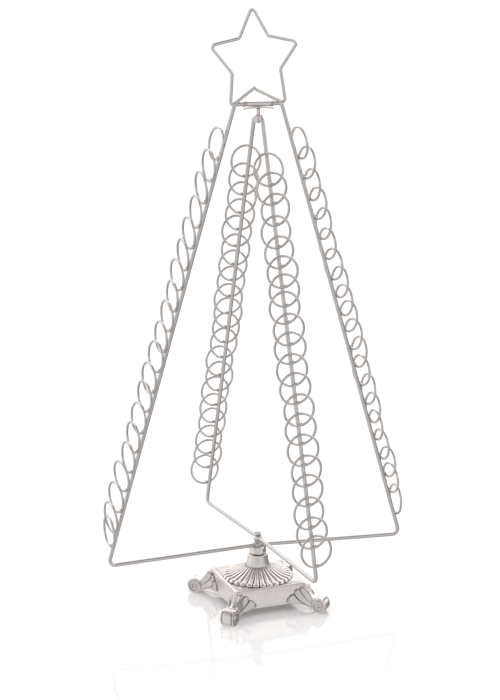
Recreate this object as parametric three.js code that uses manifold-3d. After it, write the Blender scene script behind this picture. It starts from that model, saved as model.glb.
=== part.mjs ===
// A card tree: two triangular wire frames, one nested in the other, that turn on a cast footed base.
// Cards slide in between the wire rings that are welded up the outside of all four legs.
// Millimetres, +Z up. The origin is on the floor under the swivel axis, and the base's sides run along X and Y.

import * as THREE from "three";
import { mergeVertices } from "three/addons/utils/BufferGeometryUtils.js";
import Module from "manifold-3d";

const wasm = await Module();
wasm.setup();

// Clearances
const FIT_GAP = 0.3; // between fixed pieces that touch
const RUN_GAP = 0.3; // around a pin or screw, on the radius
const WELD_SINK = 0.5; // how deep a ring is set into its leg

// Wires, as radii of the section
const FRAME_WIRE_R = 2.25;
const STAR_WIRE_R = 1.7;
const RING_WIRE_R = 1;
const FOOT_BEND_R = 6; // centre line of the bend between bar and leg
const TOP_BEND_R = 3; // centre line of the bend at a leg's top
const STAR_BEND_R = 3;

// Base casting
const PLINTH_HALF = 43.7;
const PLINTH_TOP_Z = 32.9;
const PLINTH_SKIRT = 23.7;
const PLINTH_WALL = 4;
const PLINTH_PLATE = 5;
const DOME_SET = 2.3; // dome's rim inside the plinth's sides
const DOME_HEIGHT = 11.5;
const DOME_RIM = 3.4; // height of the rounded rim
const FLUTE_COUNT = 30;
const FLUTE_DEPTH = 2;
const NECK_TOP_R = 12.1;
const NECK_FOOT_R = 13.6;
const NECK_HEIGHT = 13.5;
const RECESS_DEPTH = 1.6;

// Scroll feet
const SCROLL_R = 9.2;
const SCROLL_WIDTH = 13;
const SCROLL_OUT = 17.7; // from the plinth's corner out to the scroll's centre
const SCROLL_FLAT = 0.5; // ground off the scroll where it stands
const ANKLE_WIDTH = 10;
const WING_THICK = 3;
const WING_SPAN = 27; // along the plinth's side, from its corner
const WING_SET = 4.9; // top of a wing below the plinth's top
const WING_LOW = 3;

// Hub, from the neck upwards
const SCREW_R = 2.5;
const SCREW_HEAD_R = 4;
const SCREW_HEAD_HEIGHT = 2.5;
const SCREW_HEAD_GAP = 0.9; // shank that shows under the head
const SLOT_WIDTH = 1.1;
const SLOT_DEPTH = 1.2;
const WASHER_R = 8.5;
const WASHER_THICK = 2;
const NUT_R = 10.1; // over the corners
const NUT_HEIGHT = 7.9;
const NUT_CHAMFER = 1.1;
const BOSS_R = 4.8;
const BOSS_HEIGHT = 9.3;
const EYE_HEIGHT = 4.9;
const BASE_NUT_R = 5.8;
const BASE_NUT_HEIGHT = 4;
const BASE_WASHER_R = 8;
const BASE_WASHER_THICK = 1.2;
const SCREW_TAIL = 2; // screw end below the nut

// Outer frame, on the wire's centre line
const OUTER_TURN = -3.1; // degrees from X, as the tree stands
const OUTER_HALF_WIDTH = 180;
const OUTER_HEIGHT = 520; // from the bar's corners to the crossbar
const OUTER_TOP_HALF_WIDTH = 27.4;
const OUTER_BAR_RISE = 5.8; // the bar's middle above its corners

// Inner frame, with its legs parallel to the outer ones
const INNER_TURN = -86.9; // degrees from X
const APEX_HALF_WIDTH = 11.2;
const INNER_BAR_RISE = 3.1;
const APEX_DROP = 16.2; // inner top below the crossbar

// Card rings
const RING_R = 17.75; // centre line
const RING_COUNT = 20; // on each leg
const OUTER_RING_LOW = 24.5; // lowest weld above the bar's corner
const OUTER_RING_HIGH = 62; // highest weld below the leg's top
const OUTER_RING_TURN = 3.1; // degrees about the upright, out of square with the frame
const INNER_RING_LOW = 22.5;
const INNER_RING_HIGH = 68.4;
const INNER_RING_TURN = -3.1;

// Top pivot
const SLEEVE_WALL = 0.6;
const SLEEVE_LENGTH = 28;
const STRAP_LENGTH = 36;
const STRAP_WIDTH = 8;
const STRAP_THICK = 1.5;
const TOP_PIN_R = 2;
const BUSH_R = 5;
const BUSH_HEIGHT = 8.3;
const PIN_TAIL = 1; // pin end below the bush

// Star
const STAR_TIP_R = 57;
const STAR_NOTCH_R = 30.6;
const STAR_FOOT_OUT = 3.8; // sharp corner of a foot outside the crossbar's end
const STAR_LEAN = 3.5; // degrees, towards the left leg

// Facets
const WIRE_SIDES = 8;
const STAR_SIDES = 6;
const BEND_STEPS = 4;
const RING_STEPS = 14;
const RING_SIDES = 4;
const ROUND_STEPS = 24;
const MERGE_TOLERANCE = 1e-4;

// Base sizes that follow from the plinth
const DOME_R = PLINTH_HALF - DOME_SET;
const SCROLL_REACH = PLINTH_HALF * Math.SQRT2 + SCROLL_OUT; // from the axis to the scroll's centre
const WING_TOP = PLINTH_TOP_Z - WING_SET;

// Heights that follow from the stack of the hub
const PLINTH_FOOT_Z = PLINTH_TOP_Z - PLINTH_SKIRT;
const PLATE_UNDER_Z = PLINTH_TOP_Z - PLINTH_PLATE;
const DOME_Z = PLINTH_TOP_Z + FIT_GAP;
const NECK_Z = DOME_Z + DOME_HEIGHT + FIT_GAP;
const NECK_TOP_Z = NECK_Z + NECK_HEIGHT;
const WASHER_Z = NECK_TOP_Z - RECESS_DEPTH + FIT_GAP;
const NUT_Z = WASHER_Z + WASHER_THICK + FIT_GAP;
const BOSS_Z = NUT_Z + NUT_HEIGHT + FIT_GAP;
const EYE_Z = BOSS_Z + BOSS_HEIGHT + FIT_GAP;
const SCREW_HEAD_Z = EYE_Z + EYE_HEIGHT + SCREW_HEAD_GAP;
const BASE_WASHER_Z = PLATE_UNDER_Z - FIT_GAP - BASE_WASHER_THICK;
const BASE_NUT_Z = BASE_WASHER_Z - FIT_GAP - BASE_NUT_HEIGHT;
const SCREW_FOOT_Z = BASE_NUT_Z - SCREW_TAIL;
const BORE_R = SCREW_R + RUN_GAP;
const HUB_REACH = BOSS_R + FIT_GAP; // where the bars end at the hub

// Frame lines that follow from these
const OUTER_BAR_DIP = (OUTER_BAR_RISE * NUT_R) / OUTER_HALF_WIDTH; // the bar's fall across the nut
const OUTER_HUB_Z = BOSS_Z + FRAME_WIRE_R + OUTER_BAR_DIP;
const OUTER_FOOT_Z = OUTER_HUB_Z - OUTER_BAR_RISE;
const OUTER_TOP_Z = OUTER_FOOT_Z + OUTER_HEIGHT;
const LEG_SLOPE = (OUTER_HALF_WIDTH - OUTER_TOP_HALF_WIDTH) / OUTER_HEIGHT;
const NEST_GAP = OUTER_TOP_HALF_WIDTH + APEX_DROP * LEG_SLOPE - APEX_HALF_WIDTH; // between inner and outer leg, level
const INNER_HUB_Z = EYE_Z + EYE_HEIGHT / 2;
const INNER_FOOT_Z = INNER_HUB_Z - INNER_BAR_RISE;
const INNER_TOP_Z = OUTER_TOP_Z - APEX_DROP;
const SLEEVE_BORE_R = FRAME_WIRE_R + FIT_GAP;
const SLEEVE_R = SLEEVE_BORE_R + SLEEVE_WALL;

const WIRE_FINISH = new THREE.MeshStandardMaterial({ color: 0xb8b2af, roughness: 0.34, metalness: 0.9 });
const CAST_FINISH = new THREE.MeshStandardMaterial({ color: 0xc4bebb, roughness: 0.42, metalness: 0.85 });
const FITTING_FINISH = new THREE.MeshStandardMaterial({ color: 0xaaa5a3, roughness: 0.38, metalness: 0.9 });

// A frame is given by its leg lines: half its width at a height, and the ends of its legs.
const OUTER = {
  halfWidthAt: (z) => OUTER_HALF_WIDTH - (z - OUTER_FOOT_Z) * LEG_SLOPE,
  footZ: OUTER_FOOT_Z,
  hubZ: OUTER_HUB_Z,
  topZ: OUTER_TOP_Z,
  topReach: FIT_GAP / 2, // the two wire ends meet inside the sleeve
  ringLowZ: OUTER_FOOT_Z + OUTER_RING_LOW,
  ringHighZ: OUTER_TOP_Z - OUTER_RING_HIGH,
  ringTurn: THREE.MathUtils.degToRad(OUTER_RING_TURN),
};
const INNER = {
  halfWidthAt: (z) => OUTER.halfWidthAt(z) - NEST_GAP,
  footZ: INNER_FOOT_Z,
  hubZ: INNER_HUB_Z,
  topZ: INNER_TOP_Z,
  topReach: BUSH_R + FIT_GAP, // the leg's end is welded to the bush
  ringLowZ: INNER_FOOT_Z + INNER_RING_LOW,
  ringHighZ: INNER_TOP_Z - INNER_RING_HIGH,
  ringTurn: THREE.MathUtils.degToRad(INNER_RING_TURN),
};

/** A closed geometry as a solid that can be joined and cut. */
function toSolid(geometry) {
  const bare = geometry.clone();
  bare.deleteAttribute("normal");
  bare.deleteAttribute("uv");
  const merged = mergeVertices(bare, MERGE_TOLERANCE);
  return new wasm.Manifold(
    new wasm.Mesh({
      numProp: 3,
      vertProperties: merged.attributes.position.array,
      triVerts: new Uint32Array(merged.index.array),
    }),
  );
}

/** A solid as a geometry again. */
function toGeometry(solid) {
  const mesh = solid.getMesh();
  const geometry = new THREE.BufferGeometry();
  geometry.setAttribute("position", new THREE.BufferAttribute(mesh.vertProperties, 3));
  geometry.setIndex(new THREE.BufferAttribute(mesh.triVerts, 1));
  geometry.computeVertexNormals();
  return geometry;
}

/** One body made of several that overlap. */
function join(...geometries) {
  return toGeometry(geometries.map(toSolid).reduce((body, next) => body.add(next)));
}

/** A body with others taken out of it. */
function cut(geometry, ...tools) {
  return toGeometry(tools.map(toSolid).reduce((body, tool) => body.subtract(tool), toSolid(geometry)));
}

/** A route in one plane: straight runs between corners, with a round bend at each inner corner. */
class BentRoute extends THREE.Curve {
  constructor(corners, bendRadius, planeNormal) {
    super();
    this.planeNormal = planeNormal;
    this.points = [];
    this.tangents = [];
    const last = corners.length - 1;
    this.addStation(corners[0], corners[1].clone().sub(corners[0]).normalize());
    for (let i = 1; i < last; i += 1) {
      this.addBend(corners[i - 1], corners[i], corners[i + 1], bendRadius);
    }
    this.addStation(corners[last], corners[last].clone().sub(corners[last - 1]).normalize());
  }

  addStation(point, tangent) {
    this.points.push(point);
    this.tangents.push(tangent);
  }

  addBend(before, corner, after, radius) {
    const into = corner.clone().sub(before).normalize();
    const out = after.clone().sub(corner).normalize();
    const turn = into.angleTo(out);
    const inward = out.clone().addScaledVector(into, -out.dot(into)).normalize();
    const start = corner.clone().addScaledVector(into, -radius * Math.tan(turn / 2));
    const centre = start.clone().addScaledVector(inward, radius);
    for (let i = 0; i <= BEND_STEPS; i += 1) {
      const angle = (turn * i) / BEND_STEPS;
      const point = centre
        .clone()
        .addScaledVector(inward, -radius * Math.cos(angle))
        .addScaledVector(into, radius * Math.sin(angle));
      const tangent = into.clone().multiplyScalar(Math.cos(angle)).addScaledVector(inward, Math.sin(angle));
      this.addStation(point, tangent);
    }
  }

  getSpacedPoints() {
    return this.points;
  }

  computeFrenetFrames() {
    const binormals = this.tangents.map(() => this.planeNormal);
    const normals = this.tangents.map((tangent) => this.planeNormal.clone().cross(tangent));
    return { tangents: this.tangents, normals, binormals };
  }
}

/** A regular polygon as a shape. */
function polygon(radius, sides) {
  const points = [];
  for (let i = 0; i < sides; i += 1) {
    const angle = (i / sides) * 2 * Math.PI;
    points.push(new THREE.Vector2(radius * Math.cos(angle), radius * Math.sin(angle)));
  }
  return new THREE.Shape(points);
}

/** A wire bent in the frame's own XZ plane; corners are [x, z] pairs. */
function bentWire(corners, radius, bendRadius, sides) {
  const route = new BentRoute(
    corners.map(([x, z]) => new THREE.Vector3(x, 0, z)),
    bendRadius,
    new THREE.Vector3(0, 1, 0),
  );
  return new THREE.ExtrudeGeometry(polygon(radius, sides), {
    steps: route.points.length - 1,
    extrudePath: route,
  });
}

/** A turned piece about the Z axis; the profile is [radius, z] pairs, anticlockwise. */
function turned(profile, steps = ROUND_STEPS) {
  const points = profile.map(([radius, z]) => new THREE.Vector2(radius, z));
  return new THREE.LatheGeometry(points, steps).rotateX(Math.PI / 2);
}

/** A turned ring with a straight bore and outside. */
function turnedRing(bore, radius, low, high) {
  return turned([
    [bore, low],
    [radius, low],
    [radius, high],
    [bore, high],
    [bore, low],
  ]);
}

/** An upright prism or cylinder between two heights. */
function upright(radius, low, high, sides = ROUND_STEPS) {
  return new THREE.CylinderGeometry(radius, radius, high - low, sides)
    .rotateX(Math.PI / 2)
    .translate(0, 0, (low + high) / 2);
}

/** A box between two heights, centred on the axis. */
function block(width, depth, low, high) {
  return new THREE.BoxGeometry(width, depth, high - low).translate(0, 0, (low + high) / 2);
}

function piece(name, geometry, material) {
  const mesh = new THREE.Mesh(geometry, material);
  mesh.name = name;
  return mesh;
}

/** The unit step from a leg's foot to its top, in the frame's XZ plane, on the right-hand side. */
function legDirection() {
  return new THREE.Vector2(-LEG_SLOPE, 1).normalize();
}

/** The level at which a leg's own wire starts, above the bend at its foot. */
function legStart(frame) {
  const barFall = Math.atan2(frame.hubZ - frame.footZ, frame.halfWidthAt(frame.footZ));
  const turn = Math.PI / 2 + Math.atan(LEG_SLOPE) + barFall;
  const bendLength = FOOT_BEND_R * Math.tan(turn / 2);
  return frame.footZ + bendLength * legDirection().y;
}

/** A leg's wire with its row of card rings; side is 1 or -1 along the frame's X. */
function legWithRings(frame, side) {
  const startZ = legStart(frame) + FIT_GAP;
  const wire = bentWire(
    [
      [side * frame.halfWidthAt(startZ), startZ],
      [side * frame.halfWidthAt(frame.topZ), frame.topZ],
      [side * frame.topReach, frame.topZ],
    ],
    FRAME_WIRE_R,
    TOP_BEND_R,
    WIRE_SIDES,
  );
  const wireHalfLevel = FRAME_WIRE_R / legDirection().y; // half the wire's width, measured level
  const pitch = (frame.ringHighZ - frame.ringLowZ) / (RING_COUNT - 1);
  const rings = [];
  for (let i = 0; i < RING_COUNT; i += 1) {
    const weldZ = frame.ringLowZ + i * pitch;
    const x = frame.halfWidthAt(weldZ) + wireHalfLevel + RING_WIRE_R - WELD_SINK;
    rings.push(
      new THREE.TorusGeometry(RING_R, RING_WIRE_R, RING_SIDES, RING_STEPS)
        .rotateZ(-Math.PI / 2)
        .rotateY(Math.PI / 2)
        .rotateZ(frame.ringTurn)
        .translate(side * x, 0, weldZ + RING_R),
    );
  }
  return join(wire, ...rings);
}

/** Half of a frame's bottom bar, from the hub out to the corner and round its bend. */
function barHalf(frame, side) {
  const cornerX = frame.halfWidthAt(frame.footZ);
  const hubZ = frame.hubZ - ((frame.hubZ - frame.footZ) * HUB_REACH) / cornerX;
  const endZ = legStart(frame);
  return bentWire(
    [
      [side * HUB_REACH, hubZ],
      [side * cornerX, frame.footZ],
      [side * frame.halfWidthAt(endZ), endZ],
    ],
    FRAME_WIRE_R,
    FOOT_BEND_R,
    WIRE_SIDES,
  );
}

/** The star's wire: it starts and ends at the notch between its two feet. */
function star() {
  const cornerAngle = (index) => -Math.PI / 2 + (index * Math.PI) / 5;
  const narrow = (OUTER_TOP_HALF_WIDTH + STAR_FOOT_OUT) / (STAR_TIP_R * Math.cos(cornerAngle(1)));
  const corner = (index) => {
    const radius = index % 2 === 0 ? STAR_NOTCH_R : STAR_TIP_R;
    const angle = cornerAngle(index);
    return [radius * narrow * Math.cos(angle), radius * Math.sin(angle)];
  };
  const corners = [];
  for (let index = 0; index <= 10; index += 1) {
    corners.push(corner(index));
  }
  // Each end stops short of the notch, so that the two ends just clear each other.
  const [footX, footZ] = corners[1];
  const run = new THREE.Vector2(footX, footZ - corners[0][1]);
  const shortBy = STAR_WIRE_R * (Math.abs(run.y) / run.x) + FIT_GAP;
  const [endX, endZ] = run.clone().setLength(shortBy).toArray();
  corners[0] = [endX, corners[0][1] + endZ];
  corners[10] = [-endX, corners[0][1]];
  // A foot's bend brings its lowest point up from the sharp corner.
  const [kneeX, kneeZ] = corners[2];
  const toNotch = new THREE.Vector2(-footX, corners[0][1] - footZ).normalize();
  const toKnee = new THREE.Vector2(kneeX - footX, kneeZ - footZ).normalize();
  const halfTip = Math.acos(toNotch.dot(toKnee)) / 2;
  const bisector = toNotch.add(toKnee).normalize();
  const bendLift = (STAR_BEND_R / Math.sin(halfTip)) * bisector.y - STAR_BEND_R;
  const lift = OUTER_TOP_Z + FRAME_WIRE_R + STAR_WIRE_R + FIT_GAP - bendLift - footZ;
  const lean = Math.tan(THREE.MathUtils.degToRad(STAR_LEAN));
  const placed = corners.map(([x, z]) => [x - (z - footZ) * lean, z + lift]);
  return bentWire(placed, STAR_WIRE_R, STAR_BEND_R, STAR_SIDES);
}

/** The square plinth, hollow below, with a hole for the pivot screw. */
function plinth() {
  const inner = 2 * (PLINTH_HALF - PLINTH_WALL);
  return cut(
    block(2 * PLINTH_HALF, 2 * PLINTH_HALF, PLINTH_FOOT_Z, PLINTH_TOP_Z),
    block(inner, inner, PLINTH_FOOT_Z - PLINTH_WALL, PLATE_UNDER_Z),
    upright(BORE_R, PLINTH_FOOT_Z, PLINTH_TOP_Z + PLINTH_WALL),
  );
}

/** The low dome: a turned shape whose upper side is drawn into flutes that end in a scalloped rim. */
function dome() {
  const topZ = DOME_Z + DOME_HEIGHT;
  const rimZ = DOME_Z + DOME_RIM;
  const profile = [
    [BORE_R, DOME_Z],
    [DOME_R - FLUTE_DEPTH, DOME_Z],
    [DOME_R, DOME_Z + DOME_RIM / 2],
    [DOME_R - DOME_RIM / 2, rimZ],
  ];
  const slopeSteps = 3;
  const slopeStart = DOME_R - DOME_RIM / 2;
  for (let i = 1; i <= slopeSteps; i += 1) {
    const t = i / slopeSteps;
    profile.push([THREE.MathUtils.lerp(slopeStart, NECK_FOOT_R, t), rimZ + (topZ - rimZ) * Math.sin((t * Math.PI) / 2)]);
  }
  profile.push([BORE_R, topZ], [BORE_R, DOME_Z]);
  const geometry = turned(profile, 2 * FLUTE_COUNT);
  const position = geometry.attributes.position;
  for (let i = 0; i < position.count; i += 1) {
    const x = position.getX(i);
    const y = position.getY(i);
    const z = position.getZ(i);
    const radius = Math.hypot(x, y);
    const fluted = z > DOME_Z + MERGE_TOLERANCE && radius > NECK_FOOT_R + MERGE_TOLERANCE;
    if (fluted) {
      const share = (radius - NECK_FOOT_R) / (DOME_R - NECK_FOOT_R);
      const valley = (1 - Math.cos(FLUTE_COUNT * Math.atan2(y, x))) / 2;
      const drawIn = 1 - (valley * FLUTE_DEPTH * share) / radius / 2;
      const sink = ((z - DOME_Z) / DOME_RIM) * FLUTE_DEPTH * share * valley * 0.5;
      position.setXYZ(i, x * drawIn, y * drawIn, z - Math.min(sink, FLUTE_DEPTH * share));
    }
  }
  geometry.computeVertexNormals();
  return geometry;
}

/** The neck: a short flared post with a recess for the swivel washer in its top. */
function neck() {
  const recessR = WASHER_R + FIT_GAP;
  const recessZ = NECK_TOP_Z - RECESS_DEPTH;
  const edge = (NECK_TOP_R - recessR) / 4;
  return turned([
    [BORE_R, NECK_Z],
    [NECK_FOOT_R, NECK_Z],
    [(NECK_FOOT_R + NECK_TOP_R) / 2, NECK_Z + NECK_HEIGHT / 4],
    [NECK_TOP_R, NECK_Z + NECK_HEIGHT / 2],
    [NECK_TOP_R, NECK_TOP_Z - edge],
    [NECK_TOP_R - edge, NECK_TOP_Z],
    [recessR, NECK_TOP_Z],
    [recessR, recessZ],
    [BORE_R, recessZ],
    [BORE_R, NECK_Z],
  ]);
}

/** A leaf-shaped wing of a foot, against one side of the plinth; side mirrors it. */
function leafWing(side) {
  const outer = PLINTH_HALF + FIT_GAP + WING_THICK;
  const at = (along, z) => [side * (outer - along * WING_SPAN), z];
  const rise = WING_TOP - WING_LOW;
  const tailZ = PLINTH_FOOT_Z + FIT_GAP;
  const shape = new THREE.Shape();
  shape.moveTo(...at(0, WING_LOW));
  shape.lineTo(...at(0, WING_TOP));
  shape.quadraticCurveTo(...at(0.45, WING_TOP + rise * 0.1), ...at(0.55, WING_LOW + rise * 0.78));
  shape.quadraticCurveTo(...at(0.85, WING_LOW + rise * 0.85), ...at(0.92, WING_LOW + rise * 0.5));
  shape.quadraticCurveTo(...at(1, WING_LOW + rise * 0.4), ...at(1, tailZ));
  shape.quadraticCurveTo(...at(0.5, tailZ), ...at(0, WING_LOW));
  return new THREE.ExtrudeGeometry(shape, { depth: WING_THICK, bevelEnabled: false, curveSegments: 3 })
    .rotateX(Math.PI / 2)
    .translate(0, outer, 0);
}

/** A scroll foot for the plinth's corner on +X +Y. */
function scrollFoot() {
  const scrollZ = SCROLL_R - SCROLL_FLAT;
  const cornerReach = (PLINTH_HALF + FIT_GAP + WING_THICK / 4) * Math.SQRT2;
  const ankle = new THREE.Shape();
  ankle.moveTo(cornerReach, WING_LOW);
  ankle.lineTo(cornerReach, WING_TOP - WING_THICK);
  ankle.quadraticCurveTo(SCROLL_REACH - SCROLL_R, scrollZ + SCROLL_R, SCROLL_REACH, scrollZ + SCROLL_R * 0.9);
  ankle.lineTo(SCROLL_REACH, scrollZ - SCROLL_R / 2);
  ankle.quadraticCurveTo(SCROLL_REACH - SCROLL_R, scrollZ - SCROLL_R / 2, cornerReach, WING_LOW);
  const ankleSolid = new THREE.ExtrudeGeometry(ankle, { depth: ANKLE_WIDTH, bevelEnabled: false, curveSegments: 4 })
    .rotateX(Math.PI / 2)
    .translate(0, ANKLE_WIDTH / 2, 0)
    .rotateZ(Math.PI / 4);
  const scroll = new THREE.CylinderGeometry(SCROLL_R, SCROLL_R, SCROLL_WIDTH, ROUND_STEPS)
    .translate(SCROLL_REACH, 0, scrollZ)
    .rotateZ(Math.PI / 4);
  const body = join(leafWing(1), leafWing(-1).rotateZ(-Math.PI / 2), ankleSolid, scroll);
  const floor = block(4 * SCROLL_REACH, 4 * SCROLL_REACH, -SCROLL_R, 0);
  return cut(body, floor);
}

/** A hexagon nut with both rims chamfered. */
function hexNut(cornerRadius, bore, low, high, chamfer) {
  const hexagon = upright(cornerRadius, low, high, 6);
  const rims = turned([
    [0, low],
    [cornerRadius - chamfer, low],
    [cornerRadius, low + chamfer / 2],
    [cornerRadius, high - chamfer / 2],
    [cornerRadius - chamfer, high],
    [0, high],
  ]);
  const chamfered = toGeometry(toSolid(hexagon).intersect(toSolid(rims)));
  return cut(chamfered, upright(bore, low - chamfer, high + chamfer));
}

/** The pivot screw: a slotted head on a long shank. */
function pivotScrew() {
  const headTop = SCREW_HEAD_Z + SCREW_HEAD_HEIGHT;
  const body = turned([
    [0, SCREW_FOOT_Z],
    [SCREW_R, SCREW_FOOT_Z],
    [SCREW_R, SCREW_HEAD_Z],
    [SCREW_HEAD_R, SCREW_HEAD_Z],
    [SCREW_HEAD_R, headTop - SCREW_HEAD_HEIGHT / 4],
    [SCREW_HEAD_R * 0.85, headTop],
    [0, headTop],
  ]);
  return cut(body, block(4 * SCREW_HEAD_R, SLOT_WIDTH, headTop - SLOT_DEPTH, headTop + SLOT_DEPTH));
}

function base() {
  const group = new THREE.Group();
  group.add(
    piece("plinth", plinth(), CAST_FINISH),
    piece("dome", dome(), CAST_FINISH),
    piece("neck", neck(), CAST_FINISH),
    piece("swivel_washer", turnedRing(BORE_R, WASHER_R, WASHER_Z, WASHER_Z + WASHER_THICK), FITTING_FINISH),
    piece("pivot_screw", pivotScrew(), FITTING_FINISH),
    piece(
      "base_washer",
      turnedRing(BORE_R, BASE_WASHER_R, BASE_WASHER_Z, BASE_WASHER_Z + BASE_WASHER_THICK),
      FITTING_FINISH,
    ),
    piece(
      "base_nut",
      hexNut(BASE_NUT_R, BORE_R, BASE_NUT_Z, BASE_NUT_Z + BASE_NUT_HEIGHT, NUT_CHAMFER / 2),
      FITTING_FINISH,
    ),
  );
  const corners = ["foot_back_right", "foot_back_left", "foot_front_left", "foot_front_right"];
  corners.forEach((name, index) => {
    const foot = piece(name, scrollFoot(), CAST_FINISH);
    foot.rotation.z = (index * Math.PI) / 2;
    group.add(foot);
  });
  return group;
}

function outerFrame() {
  const group = new THREE.Group();
  group.rotation.z = THREE.MathUtils.degToRad(OUTER_TURN);
  const sleeve = turnedRing(SLEEVE_BORE_R, SLEEVE_R, -SLEEVE_LENGTH / 2, SLEEVE_LENGTH / 2)
    .rotateY(Math.PI / 2)
    .translate(0, 0, OUTER_TOP_Z);
  const strapTop = OUTER_TOP_Z - SLEEVE_R - FIT_GAP;
  const pinTop = strapTop - STRAP_THICK - FIT_GAP;
  const pinFoot = INNER_TOP_Z - BUSH_HEIGHT / 2 - PIN_TAIL;
  group.add(
    piece("frame_nut", hexNut(NUT_R, BORE_R, NUT_Z, NUT_Z + NUT_HEIGHT, NUT_CHAMFER), FITTING_FINISH),
    piece("hub_boss", turnedRing(BORE_R, BOSS_R, BOSS_Z, BOSS_Z + BOSS_HEIGHT), FITTING_FINISH),
    piece("outer_bar_left", barHalf(OUTER, -1), WIRE_FINISH),
    piece("outer_bar_right", barHalf(OUTER, 1), WIRE_FINISH),
    piece("outer_leg_left", legWithRings(OUTER, -1), WIRE_FINISH),
    piece("outer_leg_right", legWithRings(OUTER, 1), WIRE_FINISH),
    piece("crossbar_sleeve", sleeve, FITTING_FINISH),
    piece("pivot_strap", block(STRAP_LENGTH, STRAP_WIDTH, strapTop - STRAP_THICK, strapTop), FITTING_FINISH),
    piece("top_pin", upright(TOP_PIN_R, pinFoot, pinTop), FITTING_FINISH),
    piece("star", star(), WIRE_FINISH),
  );
  return group;
}

function innerFrame() {
  const group = new THREE.Group();
  group.rotation.z = THREE.MathUtils.degToRad(INNER_TURN);
  const bush = turnedRing(
    TOP_PIN_R + RUN_GAP,
    BUSH_R,
    INNER_TOP_Z - BUSH_HEIGHT / 2,
    INNER_TOP_Z + BUSH_HEIGHT / 2,
  );
  group.add(
    piece("inner_eye", turnedRing(BORE_R, BOSS_R, EYE_Z, EYE_Z + EYE_HEIGHT), FITTING_FINISH),
    piece("inner_bar_back", barHalf(INNER, -1), WIRE_FINISH),
    piece("inner_bar_front", barHalf(INNER, 1), WIRE_FINISH),
    piece("inner_leg_back", legWithRings(INNER, -1), WIRE_FINISH),
    piece("inner_leg_front", legWithRings(INNER, 1), WIRE_FINISH),
    piece("apex_bush", bush, FITTING_FINISH),
  );
  return group;
}

const cardTree = new THREE.Group();
cardTree.add(base(), outerFrame(), innerFrame());

export default cardTree;
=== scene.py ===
"""Looks of a wire card tree on a cast base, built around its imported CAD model.

Sizes are in millimetres in the model's own frame, and become metres when a mesh is made.
"""

from __future__ import annotations

import logging
import math
from dataclasses import astuple, dataclass
from enum import Enum
from functools import cache
from typing import Any, Callable, Sequence, Union

import bmesh
import bpy
import numpy as np
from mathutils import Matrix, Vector

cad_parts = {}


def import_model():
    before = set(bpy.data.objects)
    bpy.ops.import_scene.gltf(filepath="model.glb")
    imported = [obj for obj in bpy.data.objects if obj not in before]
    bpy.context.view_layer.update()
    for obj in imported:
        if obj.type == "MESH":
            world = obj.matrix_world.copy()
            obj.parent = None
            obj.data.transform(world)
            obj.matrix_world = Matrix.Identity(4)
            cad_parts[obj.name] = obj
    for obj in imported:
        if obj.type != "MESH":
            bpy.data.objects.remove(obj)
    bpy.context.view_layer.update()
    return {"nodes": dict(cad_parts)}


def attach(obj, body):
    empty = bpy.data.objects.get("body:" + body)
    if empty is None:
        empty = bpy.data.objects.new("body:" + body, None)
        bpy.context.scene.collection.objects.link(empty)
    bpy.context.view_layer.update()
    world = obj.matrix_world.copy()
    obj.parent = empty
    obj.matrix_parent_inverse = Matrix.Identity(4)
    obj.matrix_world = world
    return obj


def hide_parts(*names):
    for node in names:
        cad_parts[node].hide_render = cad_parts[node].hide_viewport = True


MM = 0.001
FULL_TURN = 2 * math.pi
AXIS_R = 0.02  # a turned solid without a bore closes on this radius
STRAIGHT = np.eye(3)
END_DOME = np.array([(0.343, 0.2), (0.2625, 0.66)])  # a wire end's dome, out and across, in wire radii
WHITE = (1.0, 1.0, 1.0, 1.0)
MIX_LOW, MIX_HIGH, MIX_RESULT = 6, 7, 2  # the Mix node's colour sockets
# Mesh attribute with the amount of shade painted at each point, most in crevices and hollows.
PAINTED_CREVICE_SHADE = "crevice"
LOG = logging.getLogger("card_tree")

Points = np.ndarray
Pair = tuple[float, float]
Triple = tuple[float, float, float]
Colour = Triple
Outline = Sequence[Pair]
Move = Callable[[Points], Points]


class Body(Enum):
    """The CAD bodies that pieces ride on."""

    BASE = "base"
    OUTER = "outer_frame"
    INNER = "inner_frame"


class Slot(Enum):
    """The record's material slots."""

    WIRE = "wire"
    CASTING = "casting"
    FITTINGS = "fittings"


class Side(Enum):
    """The two sides of a frame, in degrees about the swivel axis."""

    FAR = 0.0
    NEAR = 180.0


class Value:
    """A shader socket that can be used in expressions."""

    def __init__(self, board: Board, socket: bpy.types.NodeSocket) -> None:
        """Wraps an output socket of a board."""
        self.board = board
        self.socket = socket

    def _math(self, operation: str, first: Operand, second: Operand) -> Value:
        """Adds one Math node."""
        return self.board.value("ShaderNodeMath", {"operation": operation}, {0: first, 1: second})

    def __add__(self, other: Operand) -> Value:
        """Sum."""
        return self._math("ADD", self, other)

    def __sub__(self, other: Operand) -> Value:
        """Difference."""
        return self._math("SUBTRACT", self, other)

    def __rsub__(self, other: Operand) -> Value:
        """Difference from a number."""
        return self._math("SUBTRACT", other, self)

    def __mul__(self, other: Operand) -> Value:
        """Product."""
        return self._math("MULTIPLY", self, other)

    __radd__ = __add__
    __rmul__ = __mul__

    def clamped(self) -> Value:
        """The value kept between 0 and 1."""
        return self._math("MINIMUM", self._math("MAXIMUM", self, 0.0), 1.0)

    def toward(self, goal: Operand, share: Operand) -> Value:
        """The value moved a share of the way to a goal."""
        return self + (goal - self) * share


Operand = Union[Value, float]


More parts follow.
